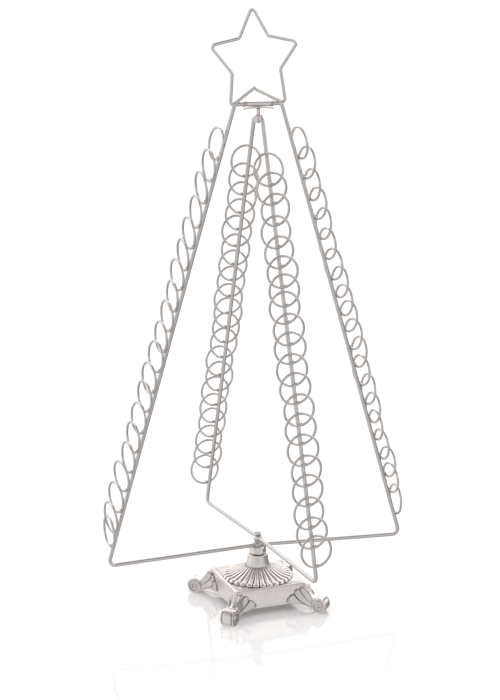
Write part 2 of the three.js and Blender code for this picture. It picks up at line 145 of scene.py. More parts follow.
class Board:
    """The node board of a material or of the world."""

    def __init__(self, owner: Any) -> None:
        """Takes over a node board.

        Args:
            owner: the material or world, whose own nodes are cleared.
        """
        owner.use_nodes = True
        self.tree = owner.node_tree
        self.tree.nodes.clear()

    def node(self, kind: str, settings: dict[str, Any], inputs: dict[Any, Any]) -> bpy.types.Node:
        """Adds a node.

        Args:
            kind: the node's type name.
            settings: properties, which are set first.
            inputs: values or links by socket name or number.

        Returns:
            The new node.
        """
        made = self.tree.nodes.new(kind)
        for key, setting in settings.items():
            setattr(made, key, setting)
        for key, given in inputs.items():
            socket = made.inputs[key]
            if isinstance(given, Value):
                self.tree.links.new(given.socket, socket)
            else:
                socket.default_value = given
        return made

    def value(self, kind: str, settings: dict[str, Any], inputs: dict[Any, Any], output: Any = 0) -> Value:
        """Adds a node, and gives one of its outputs by name or number."""
        return Value(self, self.node(kind, settings, inputs).outputs[output])

    def ramp(self, value: Value, low: float, high: float) -> Value:
        """Rises smoothly from 0, where the value is low, to 1, where it is high."""
        sockets = {"Value": value, "From Min": low, "From Max": high}
        return self.value("ShaderNodeMapRange", {"interpolation_type": "SMOOTHSTEP"}, sockets, "Result")

    def blend(self, factor: Value, low: Colour, high: Colour) -> Value:
        """Mixes two colours: a factor of 0 gives the first and 1 the second."""
        sockets = {"Factor": factor, MIX_LOW: (*low, 1.0), MIX_HIGH: (*high, 1.0)}
        return self.value("ShaderNodeMix", {"data_type": "RGBA"}, sockets, MIX_RESULT)

    def noise(self, place: Value, size: float, detail: float = 2.0, roughness: float = 0.5) -> Value:
        """Noise about 0, with a grain size in millimetres."""
        sockets = {"Vector": place, "Scale": 1.0 / (size * MM), "Detail": detail, "Roughness": roughness}
        return self.value("ShaderNodeTexNoise", {}, sockets, "Fac") - 0.5


@dataclass(frozen=True)
class SilverFinish:
    """A plated finish: bright metal, dulled by fine grain and mottled at random, rougher in its crevices,
    and darker there with painted shade.
    """

    name: str
    tint: Colour
    shade: Colour
    roughness: float
    grain: float
    grain_deep: float = 0.02
    stretch: float = 1.0
    patch: float = 9.0
    crevice_shading: float = 0.85
    patch_soil: float = 0.2
    grain_soil: float = 0.1
    crevice_dulling: float = 0.25
    dulling: float = 0.12
    bump: float = 0.35
    patch_bump: float = 2.0

    @cache
    def material(self) -> bpy.types.Material:
        """Builds the material, once for each finish.

        Returns:
            The finish's node material.
        """
        material = bpy.data.materials.new(self.name)
        board = Board(material)
        place = board.value("ShaderNodeTexCoord", {}, {}, "Object")
        sockets = {"Vector": place, "Scale": (1.0, 1.0, 1.0 / self.stretch)}
        drawn = board.value("ShaderNodeMapping", {}, sockets)
        grain = board.noise(drawn, self.grain, detail=3.0, roughness=0.6)
        patch = board.noise(place, self.patch)
        # The attribute holds the painted shade of each point, which darkens the colour and roughens the
        # metal.
        deep = board.value("ShaderNodeAttribute", {"attribute_name": PAINTED_CREVICE_SHADE}, {}, "Fac")
        # Painted shade in crevices and random mottling from grain and patches pull the colour towards the
        # dark shade colour.
        shade_and_mottle = deep * self.crevice_shading + patch * self.patch_soil + grain * self.grain_soil
        rough = self.roughness + (grain + patch) * self.dulling + deep * self.crevice_dulling
        height = grain + patch * self.patch_bump
        sockets = {"Strength": self.bump, "Distance": self.grain_deep * MM, "Height": height}
        sockets = {
            "Base Color": board.blend(shade_and_mottle.clamped(), self.tint, self.shade),
            "Roughness": rough.clamped(),
            "Metallic": 1.0,
            "Normal": board.value("ShaderNodeBump", {}, sockets),
        }
        metal = board.value("ShaderNodeBsdfPrincipled", {}, sockets)
        board.node("ShaderNodeOutputMaterial", {}, {"Surface": metal})
        return material


@dataclass(frozen=True)
class FloorFinish:
    """The white sweep: chalky, under a faint gloss that mirrors the base, with a faint glow of its own."""

    name: str = "white_sweep"
    tone: Colour = (0.9, 0.9, 0.9)
    gloss: float = 0.36
    roughness: float = 0.08
    cloud: float = 500.0 / 3.0
    cloud_dulling: float = 0.04
    glow: float = 0.1
    glow_strength: float = 1.1

    def material(self) -> bpy.types.Material:
        """Builds the material.

        Returns:
            A new node material.
        """
        material = bpy.data.materials.new(self.name)
        board = Board(material)
        place = board.value("ShaderNodeTexCoord", {}, {}, "Object")
        rough = self.roughness + board.noise(place, self.cloud) * self.cloud_dulling
        chalk = board.value("ShaderNodeBsdfDiffuse", {}, {"Color": (*self.tone, 1.0)})
        sheen = board.value("ShaderNodeBsdfAnisotropic", {}, {"Color": WHITE, "Roughness": rough})
        sweep = board.value("ShaderNodeMixShader", {}, {0: self.gloss, 1: chalk, 2: sheen})
        light = board.value("ShaderNodeEmission", {}, {"Strength": self.glow_strength})
        lit = board.value("ShaderNodeMixShader", {}, {0: self.glow, 1: sweep, 2: light})
        board.node("ShaderNodeOutputMaterial", {}, {"Surface": lit})
        return material


# Dark colour of the wire finishes, used for painted shade in crevices and for random mottling.
WIRE_SHADE_AND_MOTTLE = (0.14, 0.126, 0.12)


class Finish(Enum):
    """The finishes of the tree."""

    WIRE = SilverFinish("drawn_wire", (0.69, 0.669, 0.657), WIRE_SHADE_AND_MOTTLE, 0.22, 0.5, stretch=9.0)
    STAR = SilverFinish("star_wire", (0.75, 0.73, 0.717), WIRE_SHADE_AND_MOTTLE, 0.22, 0.5)
    RING = SilverFinish("ring_wire", (0.675, 0.653, 0.641), WIRE_SHADE_AND_MOTTLE, 0.24, 0.4, grain_deep=0.015)
    CASTING = SilverFinish(
        "plated_casting", (0.93, 0.885, 0.868), (0.11, 0.096, 0.092), 0.27, 0.9, patch=7.0
    )
    FITTING = SilverFinish("plated_fitting", (0.84, 0.805, 0.79), (0.11, 0.098, 0.094), 0.22, 0.4)
    STEEL = SilverFinish(
        "hidden_steel", (0.55, 0.54, 0.53), (0.08, 0.075, 0.07), 0.38, 0.6, grain_deep=0.03
    )


class Draft:
    """A mesh in the making: points in millimetres, faces, and the shade painted on each point, mostly in
    crevices and hollows.
    """

    def __init__(self) -> None:
        """Starts with nothing."""
        self.points: list[Points] = []
        self.faces: list[tuple[int, ...]] = []
        self.painted_shades: list[Points] = []
        self.count = 0

    def add(self, points: Points, faces: Sequence[Sequence[int]], painted_shade: Any) -> None:
        """Adds points and the faces on them.

        Args:
            points: an array of places.
            faces: indices into these points.
            painted_shade: how much shade is painted, for each point or for all.
        """
        places = points.reshape(-1, 3)
        self.points.append(places)
        self.painted_shades.append(np.broadcast_to(np.ravel(painted_shade), len(places)))
        self.faces.extend(tuple(self.count + i for i in face) for face in faces)
        self.count += len(places)

    def sheet(self, rows: Points, looped: bool, painted_shade: Any = 0.0) -> None:
        """Adds rows of points as quads. Each row closes on itself.

        Args:
            rows: an array of shape (rows, columns, 3).
            looped: whether the last row joins the first; if not, both are filled with a face.
            painted_shade: how much shade is painted, for each point or for all.
        """
        high, wide = rows.shape[:2]
        grid = np.arange(high * wide).reshape(high, wide)
        start = grid if looped else grid[:-1]
        end = np.roll(grid, -1, 0) if looped else grid[1:]
        quads = np.stack([start, np.roll(start, -1, 1), np.roll(end, -1, 1), end], axis=2)
        faces = quads.reshape(-1, 4).tolist()
        if not looped:
            faces += [grid[0, ::-1].tolist(), grid[-1].tolist()]
        self.add(rows, faces, painted_shade)

    def tube(
        self, path: Points, radius: float, sides: int, closed: bool = False, painted_shade: Any = 0.0
    ) -> None:
        """Adds a round wire along a path, with domed ends if it is open.

        Args:
            path: an array of places.
            radius: the wire's radius.
            sides: points around the wire.
            closed: whether the path is a loop.
            painted_shade: how much shade is painted, for each place or for all.
        """
        painted_shades = np.broadcast_to(painted_shade, len(path))
        widths = np.ones(len(path))
        if not closed:
            out, across = END_DOME.T
            head = path[0] + radius * out[:, None] * unit(path[0] - path[1])
            tail = path[-1] + radius * out[::-1, None] * unit(path[-1] - path[-2])
            path = np.vstack([head, path, tail])
            widths = np.r_[across, widths, across[::-1]]
            painted_shades = np.pad(painted_shades, len(out), "edge")
        side, up = travelling_axes(path, closed)
        turn = round_angles(sides)[:, None]
        ring = np.cos(turn) * side[:, None] + np.sin(turn) * up[:, None]
        rows = path[:, None] + radius * widths[:, None, None] * ring
        self.sheet(rows, closed, np.repeat(painted_shades, sides))

    def turned(self, outline: Outline, steps: int, painted_shade: Any = 0.0) -> None:
        """Adds a closed turned ring or disc about the Z axis.

        Args:
            outline: radius and height, going round the section and closing on itself.
            steps: points around the axis.
            painted_shade: how much shade is painted, for each place of the outline or for all.
        """
        section = np.array(outline)
        rows = polar(round_angles(steps), section[:, :1], section[:, 1:])
        self.sheet(rows, True, np.repeat(np.broadcast_to(painted_shade, len(section)), steps))

    def bead(self, centre: Any, radii: Sequence[float], painted_shade: float, axes: Points = STRAIGHT) -> None:
        """Adds a small rounded lump.

        Args:
            centre: its middle.
            radii: half sizes along its axes.
            painted_shade: how much shade is painted.
            axes: three unit rows.
        """
        tilt = np.linspace(-0.5, 0.5, 8)[1:-1, None] * math.pi
        ball = polar(round_angles(10), np.cos(tilt), np.sin(tilt))
        self.sheet(np.asarray(centre) + (ball * radii) @ axes, False, painted_shade)

    def placed(self, change: Move) -> None:
        """Moves every point."""
        self.points = [change(points) for points in self.points]

    def merge(self, other: Draft, change: Move) -> None:
        """Adds a moved copy of another draft."""
        self.add(change(np.vstack(other.points)), other.faces, np.concatenate(other.painted_shades))

    def piece(
        self, name: str, finish: Finish, body: Body, slot: Slot, *nodes: str, crease: float = 32.0
    ) -> None:
        """Makes the object, hangs it on the body that it rides on, and hides the CAD nodes that it
        replaces.

        Args:
            name: the piece's name.
            finish: its finish.
            body: the body that it rides on.
            slot: the record's material slot, which is not used.
            nodes: the CAD nodes that it replaces.
            crease: edges sharper than this many degrees stay crisp.
        """
        mesh = bpy.data.meshes.new(name)
        mesh.from_pydata((np.vstack(self.points) * MM).tolist(), [], self.faces)
        work = bmesh.new()
        work.from_mesh(mesh)
        bmesh.ops.recalc_face_normals(work, faces=work.faces)
        work.to_mesh(mesh)
        work.free()
        # The finish reads this attribute as painted shade.
        attribute = mesh.attributes.new(PAINTED_CREVICE_SHADE, "FLOAT", "POINT")
        attribute.data.foreach_set("value", np.concatenate(self.painted_shades).astype(np.float32))
        mesh.polygons.foreach_set("use_smooth", [True] * len(mesh.polygons))
        mesh.set_sharp_from_angle(angle=math.radians(crease))
        mesh.materials.append(finish.value.material())
        made = bpy.data.objects.new(name, mesh)
        bpy.context.scene.collection.objects.link(made)
        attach(made, body.value)
        if nodes:
            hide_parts(*nodes)
        LOG.info("%s: %d faces on %s", name, len(mesh.polygons), body.value)


def unit(vector: Points) -> Points:
    """The vector at length 1."""
    return vector / np.linalg.norm(vector)


def round_angles(steps: int) -> Points:
    """Angles evenly spaced round a circle."""
    return np.linspace(0, FULL_TURN, steps, endpoint=False)


def polar(turn: Any, radius: Any, z: Any) -> Points:
    """Places from angles, radii and heights, each spread over the shape of the others."""
    turn, radius, z = np.broadcast_arrays(turn, radius, z)
    return np.stack([radius * np.cos(turn), radius * np.sin(turn), z], axis=-1)


def part_way(value: Any, start: float, end: float) -> Any:
    """0 up to the start, 1 from the end on, and even between them."""
    return np.clip((value - start) / (end - start), 0.0, 1.0)


def hump(value: Any, middle: float, wide: float) -> Any:
    """1 in the middle, falling off smoothly to both sides."""
    return np.exp(-(((value - middle) / wide) ** 2))


def travelling_axes(path: Points, closed: bool) -> tuple[Points, Points]:
    """Two axes across a path that turn as little as they can along it.

    Args:
        path: an array of places.
        closed: whether the path is a loop.

    Returns:
        Two arrays of unit vectors.
    """
    ahead = np.roll(path, -1, 0) - np.roll(path, 1, 0)
    if not closed:
        ahead[0], ahead[-1] = path[1] - path[0], path[-1] - path[-2]
    ahead /= np.linalg.norm(ahead, axis=1)[:, None]
    start = np.cross(ahead[0], (0.0, 0.0, 1.0))
    if np.linalg.norm(start) < 0.1:
        start = np.cross(ahead[0], (0.0, 1.0, 0.0))
    side = [unit(start)]
    for step in ahead[1:]:
        last = side[-1]
        side.append(unit(last - step * last.dot(step)))
    sides = np.array(side)
    return sides, np.cross(ahead, sides)


def bent(corners: Sequence[Sequence[float]], bends: Sequence[float], steps: int = 9) -> Points:
    """A route of straight runs with round bends.

    Args:
        corners: the sharp corners and both ends.
        bends: a radius for each inner corner.
        steps: stretches in each bend.

    Returns:
        The route's places.
    """
    points = np.array(corners)
    route = [points[0]]
    for before, corner, after, radius in zip(points, points[1:], points[2:], bends):
        into, out = unit(corner - before), unit(after - corner)
        turn = math.acos(into.dot(out))
        inward = unit(out - into * out.dot(into))
        start = corner - into * radius * math.tan(turn / 2)
        for angle in np.linspace(0, turn, steps + 1):
            inset, run = radius * (1 - math.cos(angle)), radius * math.sin(angle)
            route.append(start + inward * inset + into * run)
    route.append(points[-1])
    return np.array(route)


def smooth(points: Sequence[Sequence[float]], steps: int) -> Points:
    """A smooth curve through points.

    Args:
        points: the places that it passes.
        steps: stretches between two of them.

    Returns:
        The curve's places.
    """
    p = np.array(points)
    p = np.vstack([2 * p[0] - p[1], p, 2 * p[-1] - p[-2]])
    t = (np.arange(steps) / steps)[:, None]
    curve = []
    for a, b, c, d in zip(p, p[1:], p[2:], p[3:]):
        bow = (2 * a - 5 * b + 4 * c - d) * t**2
        twist = (3 * b - a - 3 * c + d) * t**3
        curve.append(0.5 * (2 * b + (c - a) * t + bow + twist))
    return np.vstack([*curve, p[-2]])


def turned_about_z(degrees: float) -> Move:
    """A turn about the swivel axis.

    Args:
        degrees: anticlockwise from above.

    Returns:
        A function from places to places.
    """
    c, s = math.cos(math.radians(degrees)), math.sin(math.radians(degrees))
    matrix = np.array([[c, s, 0.0], [-s, c, 0.0], [0.0, 0.0, 1.0]])
    return lambda points: points @ matrix


@dataclass(frozen=True)
class Perch:
    """Where a ring sits: its lowest point, its lean to the axis, its turn and its shift to the side."""

    height: float
    lean: float
    turn: float
    shift: float


@dataclass(frozen=True)
class RingRow:
    """The rings of one leg: perches of a few of them, and how unevenly those between were welded on."""

    name: str
    stations: dict[int, Perch]
    lean_out: float
    seed: int
    uneven: Perch = Perch(1.4, 0.07, 0.08, 1.8)
    lean_in: float = 0.13

    def perches(self) -> list[Perch]:
        """The perch of each ring.

        Returns:
            The perches, from the lowest ring up.
        """
        known = np.array([astuple(perch) for perch in self.stations.values()])
        rings = np.arange(max(self.stations) + 1)
        places = np.stack([np.interp(rings, list(self.stations), column) for column in known.T], axis=1)
        chance = np.random.default_rng(self.seed)
        places[1:-1] += chance.uniform(-1.0, 1.0, places[1:-1].shape) * astuple(self.uneven)
        places[:, 1] = np.clip(places[:, 1], -self.lean_out, self.lean_in)
        return [Perch(*place) for place in places]


@dataclass
class WireFrame:
    """One triangular frame: a bent wire on each side and its rows of card rings."""

    body: Body
    turn: float
    foot_half: float
    foot_z: float
    hub_z: float
    hub_reach: float
    top_z: float
    top_reach: float
    rows: dict[Side, RingRow]
    slope: float = 152.6 / 520.0
    wire_r: float = 2.25
    wire_sides: int = 16
    foot_bend: float = 6.4
    top_bend: float = 3.0
    ring_r: float = 17.75
    ring_wire_r: float = 1.4
    ring_sides: int = 9
    ring_steps: int = 52
    touch_steps: int = 180
    seat_range: Pair = (-2.0, 14.0)
    seat_tries: int = 18
    tail: float = 0.2
    tail_start: float = 0.25
    tail_in: float = 1.6
    tail_curve: float = 1.5
    weld_sink: float = 0.45
    weld_size: Triple = (1.1, 1.3, 1.3)
    weld_place: float = 0.38
    weld_shade: float = 0.04
    weld_shade_reach: float = 4.0

    def half_at(self, z: float) -> float:
        """Half the frame's width at a height."""
        return self.foot_half - (z - self.foot_z) * self.slope

    def up_leg(self) -> Points:
        """The unit step up the leg."""
        return unit(np.array([-self.slope, 0.0, 1.0]))

    def wire(self) -> Draft:
        """The bent wire of the far side: half the bar, the leg and the top.

        Returns:
            The wire in the frame's own axes.
        """
        corners = [
            (self.hub_reach, 0.0, self.hub_z),
            (self.foot_half, 0.0, self.foot_z),
            (self.half_at(self.top_z), 0.0, self.top_z),
            (self.top_reach, 0.0, self.top_z),
        ]
        draft = Draft()
        draft.tube(bent(corners, (self.foot_bend, self.top_bend)), self.wire_r, self.wire_sides)
        return draft

    def circle(self, perch: Perch, turn: Points, radius: Any) -> Points:
        """Places round a ring that stands on the frame's middle, turned and leaning as on its perch.

        Args:
            perch: where the ring sits.
            turn: angles from the ring's lowest point.
            radius: one radius, or one for each angle.

        Returns:
            The places.
        """
        c, s = math.cos(perch.turn), math.sin(perch.turn)
        across, out = np.array([s, c, 0.0]), np.array([c, -s, 0.0])
        rise = np.array([0.0, 0.0, math.cos(perch.lean)]) - out * math.sin(perch.lean)
        ways = np.sin(turn)[:, None] * across - np.cos(turn)[:, None] * rise
        return rise * self.ring_r + np.asarray(radius)[..., None] * ways

    def ring(self, perch: Perch) -> tuple[Points, Points, Points]:
        """One ring's wire, moved in along the frame until it touches the far leg.

        Args:
            perch: where the ring sits.

        Returns:
            The wire's path, the touching place on it, and the way from there to the leg's middle line.
        """
        leg = self.up_leg()
        around = np.linspace(-math.pi, math.pi, self.touch_steps, endpoint=False)
        closed = self.circle(perch, around, self.ring_r)
        foot = np.array([self.half_at(perch.height), 0.0, perch.height])
        near, far = self.seat_range
        for _ in range(self.seat_tries):
            stand = (near + far) / 2
            seat = foot + (stand, perch.shift, 0.0)
            gap = np.linalg.norm(np.cross(closed + seat - foot, leg), axis=1)
            if gap.min() > self.wire_r + self.ring_wire_r - self.weld_sink:
                far = stand
            else:
                near = stand
        touch = int(gap.argmin())
        end = around[touch] + FULL_TURN
        turn = np.linspace(around[touch], end + self.tail, self.ring_steps)
        inside = part_way(turn, end - self.tail_start, end + self.tail) ** self.tail_curve
        path = seat + self.circle(perch, turn, self.ring_r - self.tail_in * inside)
        place = closed[touch] + seat
        return path, place, foot - place - leg * (foot - place).dot(leg)

    def rings(self, row: RingRow) -> Draft:
        """A row of rings, each welded to the far leg's outer side where its two ends meet.

        Args:
            row: where the rings sit.

        Returns:
            The rings in the frame's own axes.
        """
        draft = Draft()
        leg, across = self.up_leg(), np.array([0.0, 1.0, 0.0])
        axes = np.array([np.cross(across, leg), across, leg])
        for perch in row.perches():
            path, place, to_leg = self.ring(perch)
            # Painted shade on each ring, fading away from its weld.
            close = hump(np.linalg.norm(path - place, axis=1), 0.0, self.weld_shade_reach)
            draft.tube(path, self.ring_wire_r, self.ring_sides, painted_shade=self.weld_shade * close)
            draft.bead(place + self.weld_place * to_leg, self.weld_size, painted_shade=0.0, axes=axes)
        return draft

    def build(self) -> None:
        """Makes the wires and rings of both sides."""
        for side, row in self.rows.items():
            place = turned_about_z(self.turn + side.value)
            prefix, end = row.name.split("_")
            nodes = (f"{prefix}_bar_{end}", f"{prefix}_leg_{end}")
            wire, rings = self.wire(), self.rings(row)
            wire.placed(place)
            wire.piece(f"{prefix}_wire_{end}", Finish.WIRE, self.body, Slot.WIRE, *nodes)
            rings.placed(place)
            rings.piece(f"{prefix}_rings_{end}", Finish.RING, self.body, Slot.WIRE)


@dataclass
class StarTop:
    """The star, the crossbar's sleeve, the strap under it and the pin that the inner frame turns on."""

    turn: float = -3.1
    star_wire_r: float = 1.85
    star_sides: int = 14
    star_corners: Outline = (
        (-2.6, 600.4), (32.0, 584.0), (25.7, 622.6), (45.8, 651.6), (11.3, 658.4), (-7.4, 690.2),
        (-22.2, 655.6), (-55.4, 648.4), (-30.2, 618.6), (-32.2, 581.9), (-3.6, 602.6),
    )
    star_bends: Sequence[float] = (3.2, 4.0, 3.6, 4.0, 3.4, 4.0, 3.6, 4.0, 2.4)
    star_welds: Outline = ((-28.2, 585.2), (28.2, 586.2))
    star_weld_size: Triple = (2.6, 2.2, 1.8)
    bar_z: float = 584.475
    bar_r: float = 2.25
    sleeve_r: float = 2.8
    sleeve_half: float = 14.0
    sleeve_fit: float = 0.05
    sleeve_soft: float = 0.5
    bands_out: Sequence[float] = (1.3, 2.9)
    band_r: float = 0.65
    band_lift: float = 0.55
    band_lean: float = 0.9
    strap_half: float = 18.0
    strap_wide: float = 8.0
    strap_thick: float = 1.5
    strap_bow: float = 1.6
    strap_gap: float = 0.1
    strap_soft: float = 0.3
    pin_r: float = 2.0
    pin_low_z: float = 563.2
    pin_tip: float = 0.7
    pin_flange: float = 1.0
    bush_r: float = 5.0
    bush_mid_z: float = 568.25
    bush_high: float = 8.3
    bush_fit: float = 0.3
    bush_soft: float = 0.9
    bush_belly: float = 0.1

    def star(self) -> Draft:
        """The star's bent wire, with its ends crossing in the lower notch.

        Returns:
            The wire in the frame's own axes.
        """
        draft = Draft()
        route = bent([(u, 0.0, z) for u, z in self.star_corners], self.star_bends)
        draft.tube(route, self.star_wire_r, self.star_sides)
        # Each weld carries painted shade.
        for u, z in self.star_welds:
            draft.bead((u, 0.0, z), self.star_weld_size, painted_shade=0.4)
        return draft

    def sleeve(self) -> Draft:
        """The sleeve over the crossbar's two ends, with a wrapped band at each end.

        Returns:
            The sleeve in the frame's own axes.
        """
        draft = Draft()
        out, half, soft = self.sleeve_r, self.sleeve_half, self.sleeve_soft
        left = [(self.bar_r + self.sleeve_fit, -half), (out - soft, -half), (out, soft - half)]
        draft.turned(left + [(r, -x) for r, x in reversed(left)], steps=40)
        turn = round_angles(28)
        for side in (-1, 1):
            for beyond in self.bands_out:
                along = side * (half + beyond) + self.band_lean * np.cos(turn)
                band = polar(turn, self.bar_r + self.band_lift, along)
                # The bands carry painted shade.
                draft.tube(band, self.band_r, sides=8, closed=True, painted_shade=0.25)
        draft.placed(lambda p: np.stack([p[:, 2], p[:, 1], p[:, 0] + self.bar_z], axis=1))
        return draft

    def strap(self) -> Draft:
        """The strap with round ends, which bows down away from the sleeve.

        Returns:
            The strap in the frame's own axes.
        """
        half, wide = self.strap_half, self.strap_wide / 2
        top = self.bar_z - self.sleeve_r - self.strap_gap
        rows = []
        for u in half * np.sin(np.linspace(-1, 1, 33) * math.pi / 2):
            past = max(0.0, abs(u) - (half - wide))
            side = max(math.sqrt(wide**2 - past**2), self.strap_soft)
            soft = min(self.strap_soft, 0.4 * side)
            high = top - self.strap_bow * (u / half) ** 2
            low = high - self.strap_thick
            under = [(-side, low + soft), (soft - side, low), (side - soft, low), (side, low + soft)]
            over = [(side, high - soft), (side - soft, high), (soft - side, high), (-side, high - soft)]
            rows.append([(u, v, z) for v, z in under + over])
        draft = Draft()
        draft.sheet(np.array(rows), looped=False)
        return draft

    def pin(self) -> Draft:
        """The pin under the strap, with a small flange where it is welded on.

        Returns:
            The pin about the swivel axis.
        """
        top = self.bar_z - self.sleeve_r - self.strap_thick - self.strap_gap
        r, low, tip, flange = self.pin_r, self.pin_low_z, self.pin_tip, self.pin_r + self.pin_flange
        shaft = [(AXIS_R, low), (r - tip, low), (r, low + tip), (r, top - 1.2)]
        draft = Draft()
        shaft += [(flange, top - 0.1), (flange, top), (AXIS_R, top)]
        # Painted shade on the flange under the strap.
        draft.turned(shaft, steps=32, painted_shade=(0, 0, 0, 0, 0.5, 0.6, 0.6))
        return draft

    def bush(self) -> Draft:
        """The bush at the inner frame's apex.

        Returns:
            The bush about the swivel axis.
        """
        middle, half = self.bush_mid_z, self.bush_high / 2
        low, high, soft = middle - half, middle + half, self.bush_soft
        r, edge, bore = self.bush_r, self.bush_r - self.bush_belly, self.pin_r + self.bush_fit
        under = [(bore, low), (r - soft, low), (edge, low + soft), (r, middle)]
        over = [(edge, high - soft), (r - soft, high), (bore + 0.5, high), (bore, high - 0.6)]
        draft = Draft()
        # Painted shade round the bush's bore, top and bottom.
        draft.turned(under + over, steps=48, painted_shade=(0.7, 0.1, 0, 0, 0, 0.1, 0.5, 1.0))
        return draft

    def build(self) -> None:
        """Makes the pieces at the top."""
        fitting, slot = Finish.FITTING, Slot.FITTINGS
        made = (
            (self.star(), "star_wire", Finish.STAR, Body.OUTER, Slot.WIRE, "star"),
            (self.sleeve(), "sleeve_with_bands", fitting, Body.OUTER, slot, "crossbar_sleeve"),
            (self.strap(), "round_ended_strap", fitting, Body.OUTER, slot, "pivot_strap"),
            (self.pin(), "hanging_pin", fitting, Body.OUTER, slot, "top_pin"),
            (self.bush(), "apex_eye", fitting, Body.INNER, slot, "apex_bush"),
        )
        for draft, *labels in made:
            draft.placed(turned_about_z(self.turn))
            draft.piece(*labels)


@dataclass
class Hub:
    """The stack on the swivel axis: hexagon nut, boss, eye and screw."""

    bore: float = 2.8
    nut_low: float = 60.7
    nut_high: float = 69.2
    nut_r: float = 10.1
    nut_turn: float = -13.0
    nut_chamfer: Outline = ((2.1, 0.0), (1.2, 0.15), (0.6, 0.6), (0.0, 1.2))
    nut_corner: float = 0.25
    nut_mouth_r: float = 3.6
    boss_low: float = 69.0
    boss_high: float = 77.2
    boss_r: float = 4.6
    welds: Sequence[Triple] = (
        (-20.0, 1.2, 1.7), (16.0, 1.0, 1.6), (-3.0, 2.9, 1.4), (158.0, 1.1, 1.7), (197.0, 1.0, 1.6),
        (177.0, 2.9, 1.5), (235.0, 0.6, 1.5), (-75.0, 0.6, 1.4), (60.0, 0.6, 1.4), (115.0, 0.6, 1.5),
    )
    weld_out: float = 1.0
    weld_flat: float = 0.75
    eye_low: float = 77.3
    eye_high: float = 82.2
    eye_r: float = 5.0
    head_low: float = 83.1
    head_high: float = 85.6
    head_r: float = 4.0
    head_dome: Outline = ((0.9, 1.2), (1.0, 0.9), (1.0, 0.6), (0.94, 0.22), (0.8, 0.0))
    slot_half: float = 0.55
    shank_r: float = 2.5
    shank_low: float = 20.1
    shank_soft: float = 0.5
    shank_in: float = 0.2

    def hexagon(self, points: Points) -> Points:
        """Cuts round places back to the flats of the nut, with slightly rounded corners.

        Args:
            points: places about the swivel axis.

        Returns:
            The places inside the hexagon.
        """
        sixth = FULL_TURN / 6
        apothem = self.nut_r * math.cos(sixth / 2)
        flat = apothem / np.cos(np.arctan2(points[:, 1], points[:, 0]) % sixth - sixth / 2)
        corner = part_way(flat, apothem, self.nut_r) ** 6
        limit = (flat - self.nut_corner * corner) / np.hypot(points[:, 0], points[:, 1])
        return points * np.column_stack([np.minimum(limit, 1.0)] * 2 + [np.ones(len(points))])

    def nut(self) -> Draft:
        """The hexagon nut with rounded chamfers.

        Returns:
            The nut about the swivel axis.
        """
        low, high, r = self.nut_low, self.nut_high, self.nut_r
        under = [(r - cut, low + rise) for cut, rise in self.nut_chamfer]
        sides = [(r, z) for z in np.linspace(low + 2.0, high - 2.0, 4)]
        over = [(r - cut, high - rise) for cut, rise in reversed(self.nut_chamfer)]
        mouth = [(self.nut_mouth_r, high), (self.bore, high - 0.6)]
        outline = [(self.bore, low)] + under + sides + over + mouth
        # Painted shade on the nut's underside and in its mouth.
        painted_shade = np.zeros(len(outline))
        painted_shade[:2] = 0.8
        painted_shade[-2:] = 0.7
        draft = Draft()
        draft.turned(outline, steps=120, painted_shade=painted_shade)
        draft.placed(self.hexagon)
        draft.placed(turned_about_z(self.nut_turn))
        return draft

    def boss(self) -> Draft:
        """The waisted boss between nut and eye, with the bar's welds round its foot.

        Returns:
            The boss about the swivel axis.
        """
        low, high, r, bore = self.boss_low, self.boss_high, self.boss_r, self.bore
        draft = Draft()
        # The welds and the boss carry painted shade, the boss most at its foot, waist and bore.
        for degrees, rise, size in self.welds:
            place = polar(math.radians(degrees), r + self.weld_out, low + rise)
            draft.bead(place, (size, size, size * self.weld_flat), painted_shade=0.3)
        foot = [(bore, low), (r + 0.2, low), (r + 0.2, low + 3.2)]
        waist = [(r - 0.6, low + 4.0), (r - 0.9, (low + high) / 2 + 0.8), (r - 0.6, high - 1.8)]
        collar = [(r, high - 1.2), (r, high), (bore, high)]
        painted_shade = (0.6, 0.3, 0.15, 0.5, 0.6, 0.5, 0.2, 0.4, 0.6)
        draft.turned(foot + waist + collar, steps=56, painted_shade=painted_shade)
        return draft

    def eye(self) -> Draft:
        """The eye that carries the inner frame's bar.

        Returns:
            The eye about the swivel axis.
        """
        low, high, r, bore = self.eye_low, self.eye_high, self.eye_r, self.bore
        wall = [(bore, low), (r - 0.8, low), (r, low + 0.8), (r, high - 0.9), (r - 0.3, high - 0.35)]
        mouth = [(r - 0.9, high), (bore + 0.5, high), (bore, high - 0.4)]
        draft = Draft()
        # Painted shade under the eye and round its bore.
        draft.turned(wall + mouth, steps=56, painted_shade=(0.6, 0.3, 0, 0, 0, 0.1, 0.5, 0.9))
        return draft

    def screw(self) -> Draft:
        """The screw, with a slot across its domed head.

        Returns:
            The screw about the swivel axis.
        """
        low, high, r = self.head_low, self.head_high, self.head_r
        thin, tip, soft = self.shank_r, self.shank_low, self.shank_soft
        end = low + self.shank_in
        draft = Draft()
        shank = [(AXIS_R, tip), (thin - soft, tip), (thin, tip + soft), (thin, end), (AXIS_R, end)]
        # Painted shade on the shank, over the domed head, and most in the slot.
        draft.turned(shank, steps=40, painted_shade=0.45)
        cut = math.asin(self.slot_half / r)
        turn = np.linspace(cut, math.pi - cut, 25)
        for side in (-1, 1):
            cheek = np.array([polar(turn, r * reach, high - drop) for reach, drop in self.head_dome])
            cheek[..., 1] = side * np.maximum(cheek[..., 1], self.slot_half)
            draft.sheet(cheek, looped=False, painted_shade=0.4)
        rim = [(AXIS_R, low), (r * 0.93, low), (r, low + 0.35), (r, high - 1.0)]
        floor = [(r * 0.95, high - 0.9), (AXIS_R, high - 0.9)]
        draft.turned(rim + floor, steps=48, painted_shade=(0.4, 0.4, 0, 0, 0.5, 0.9))
        return draft

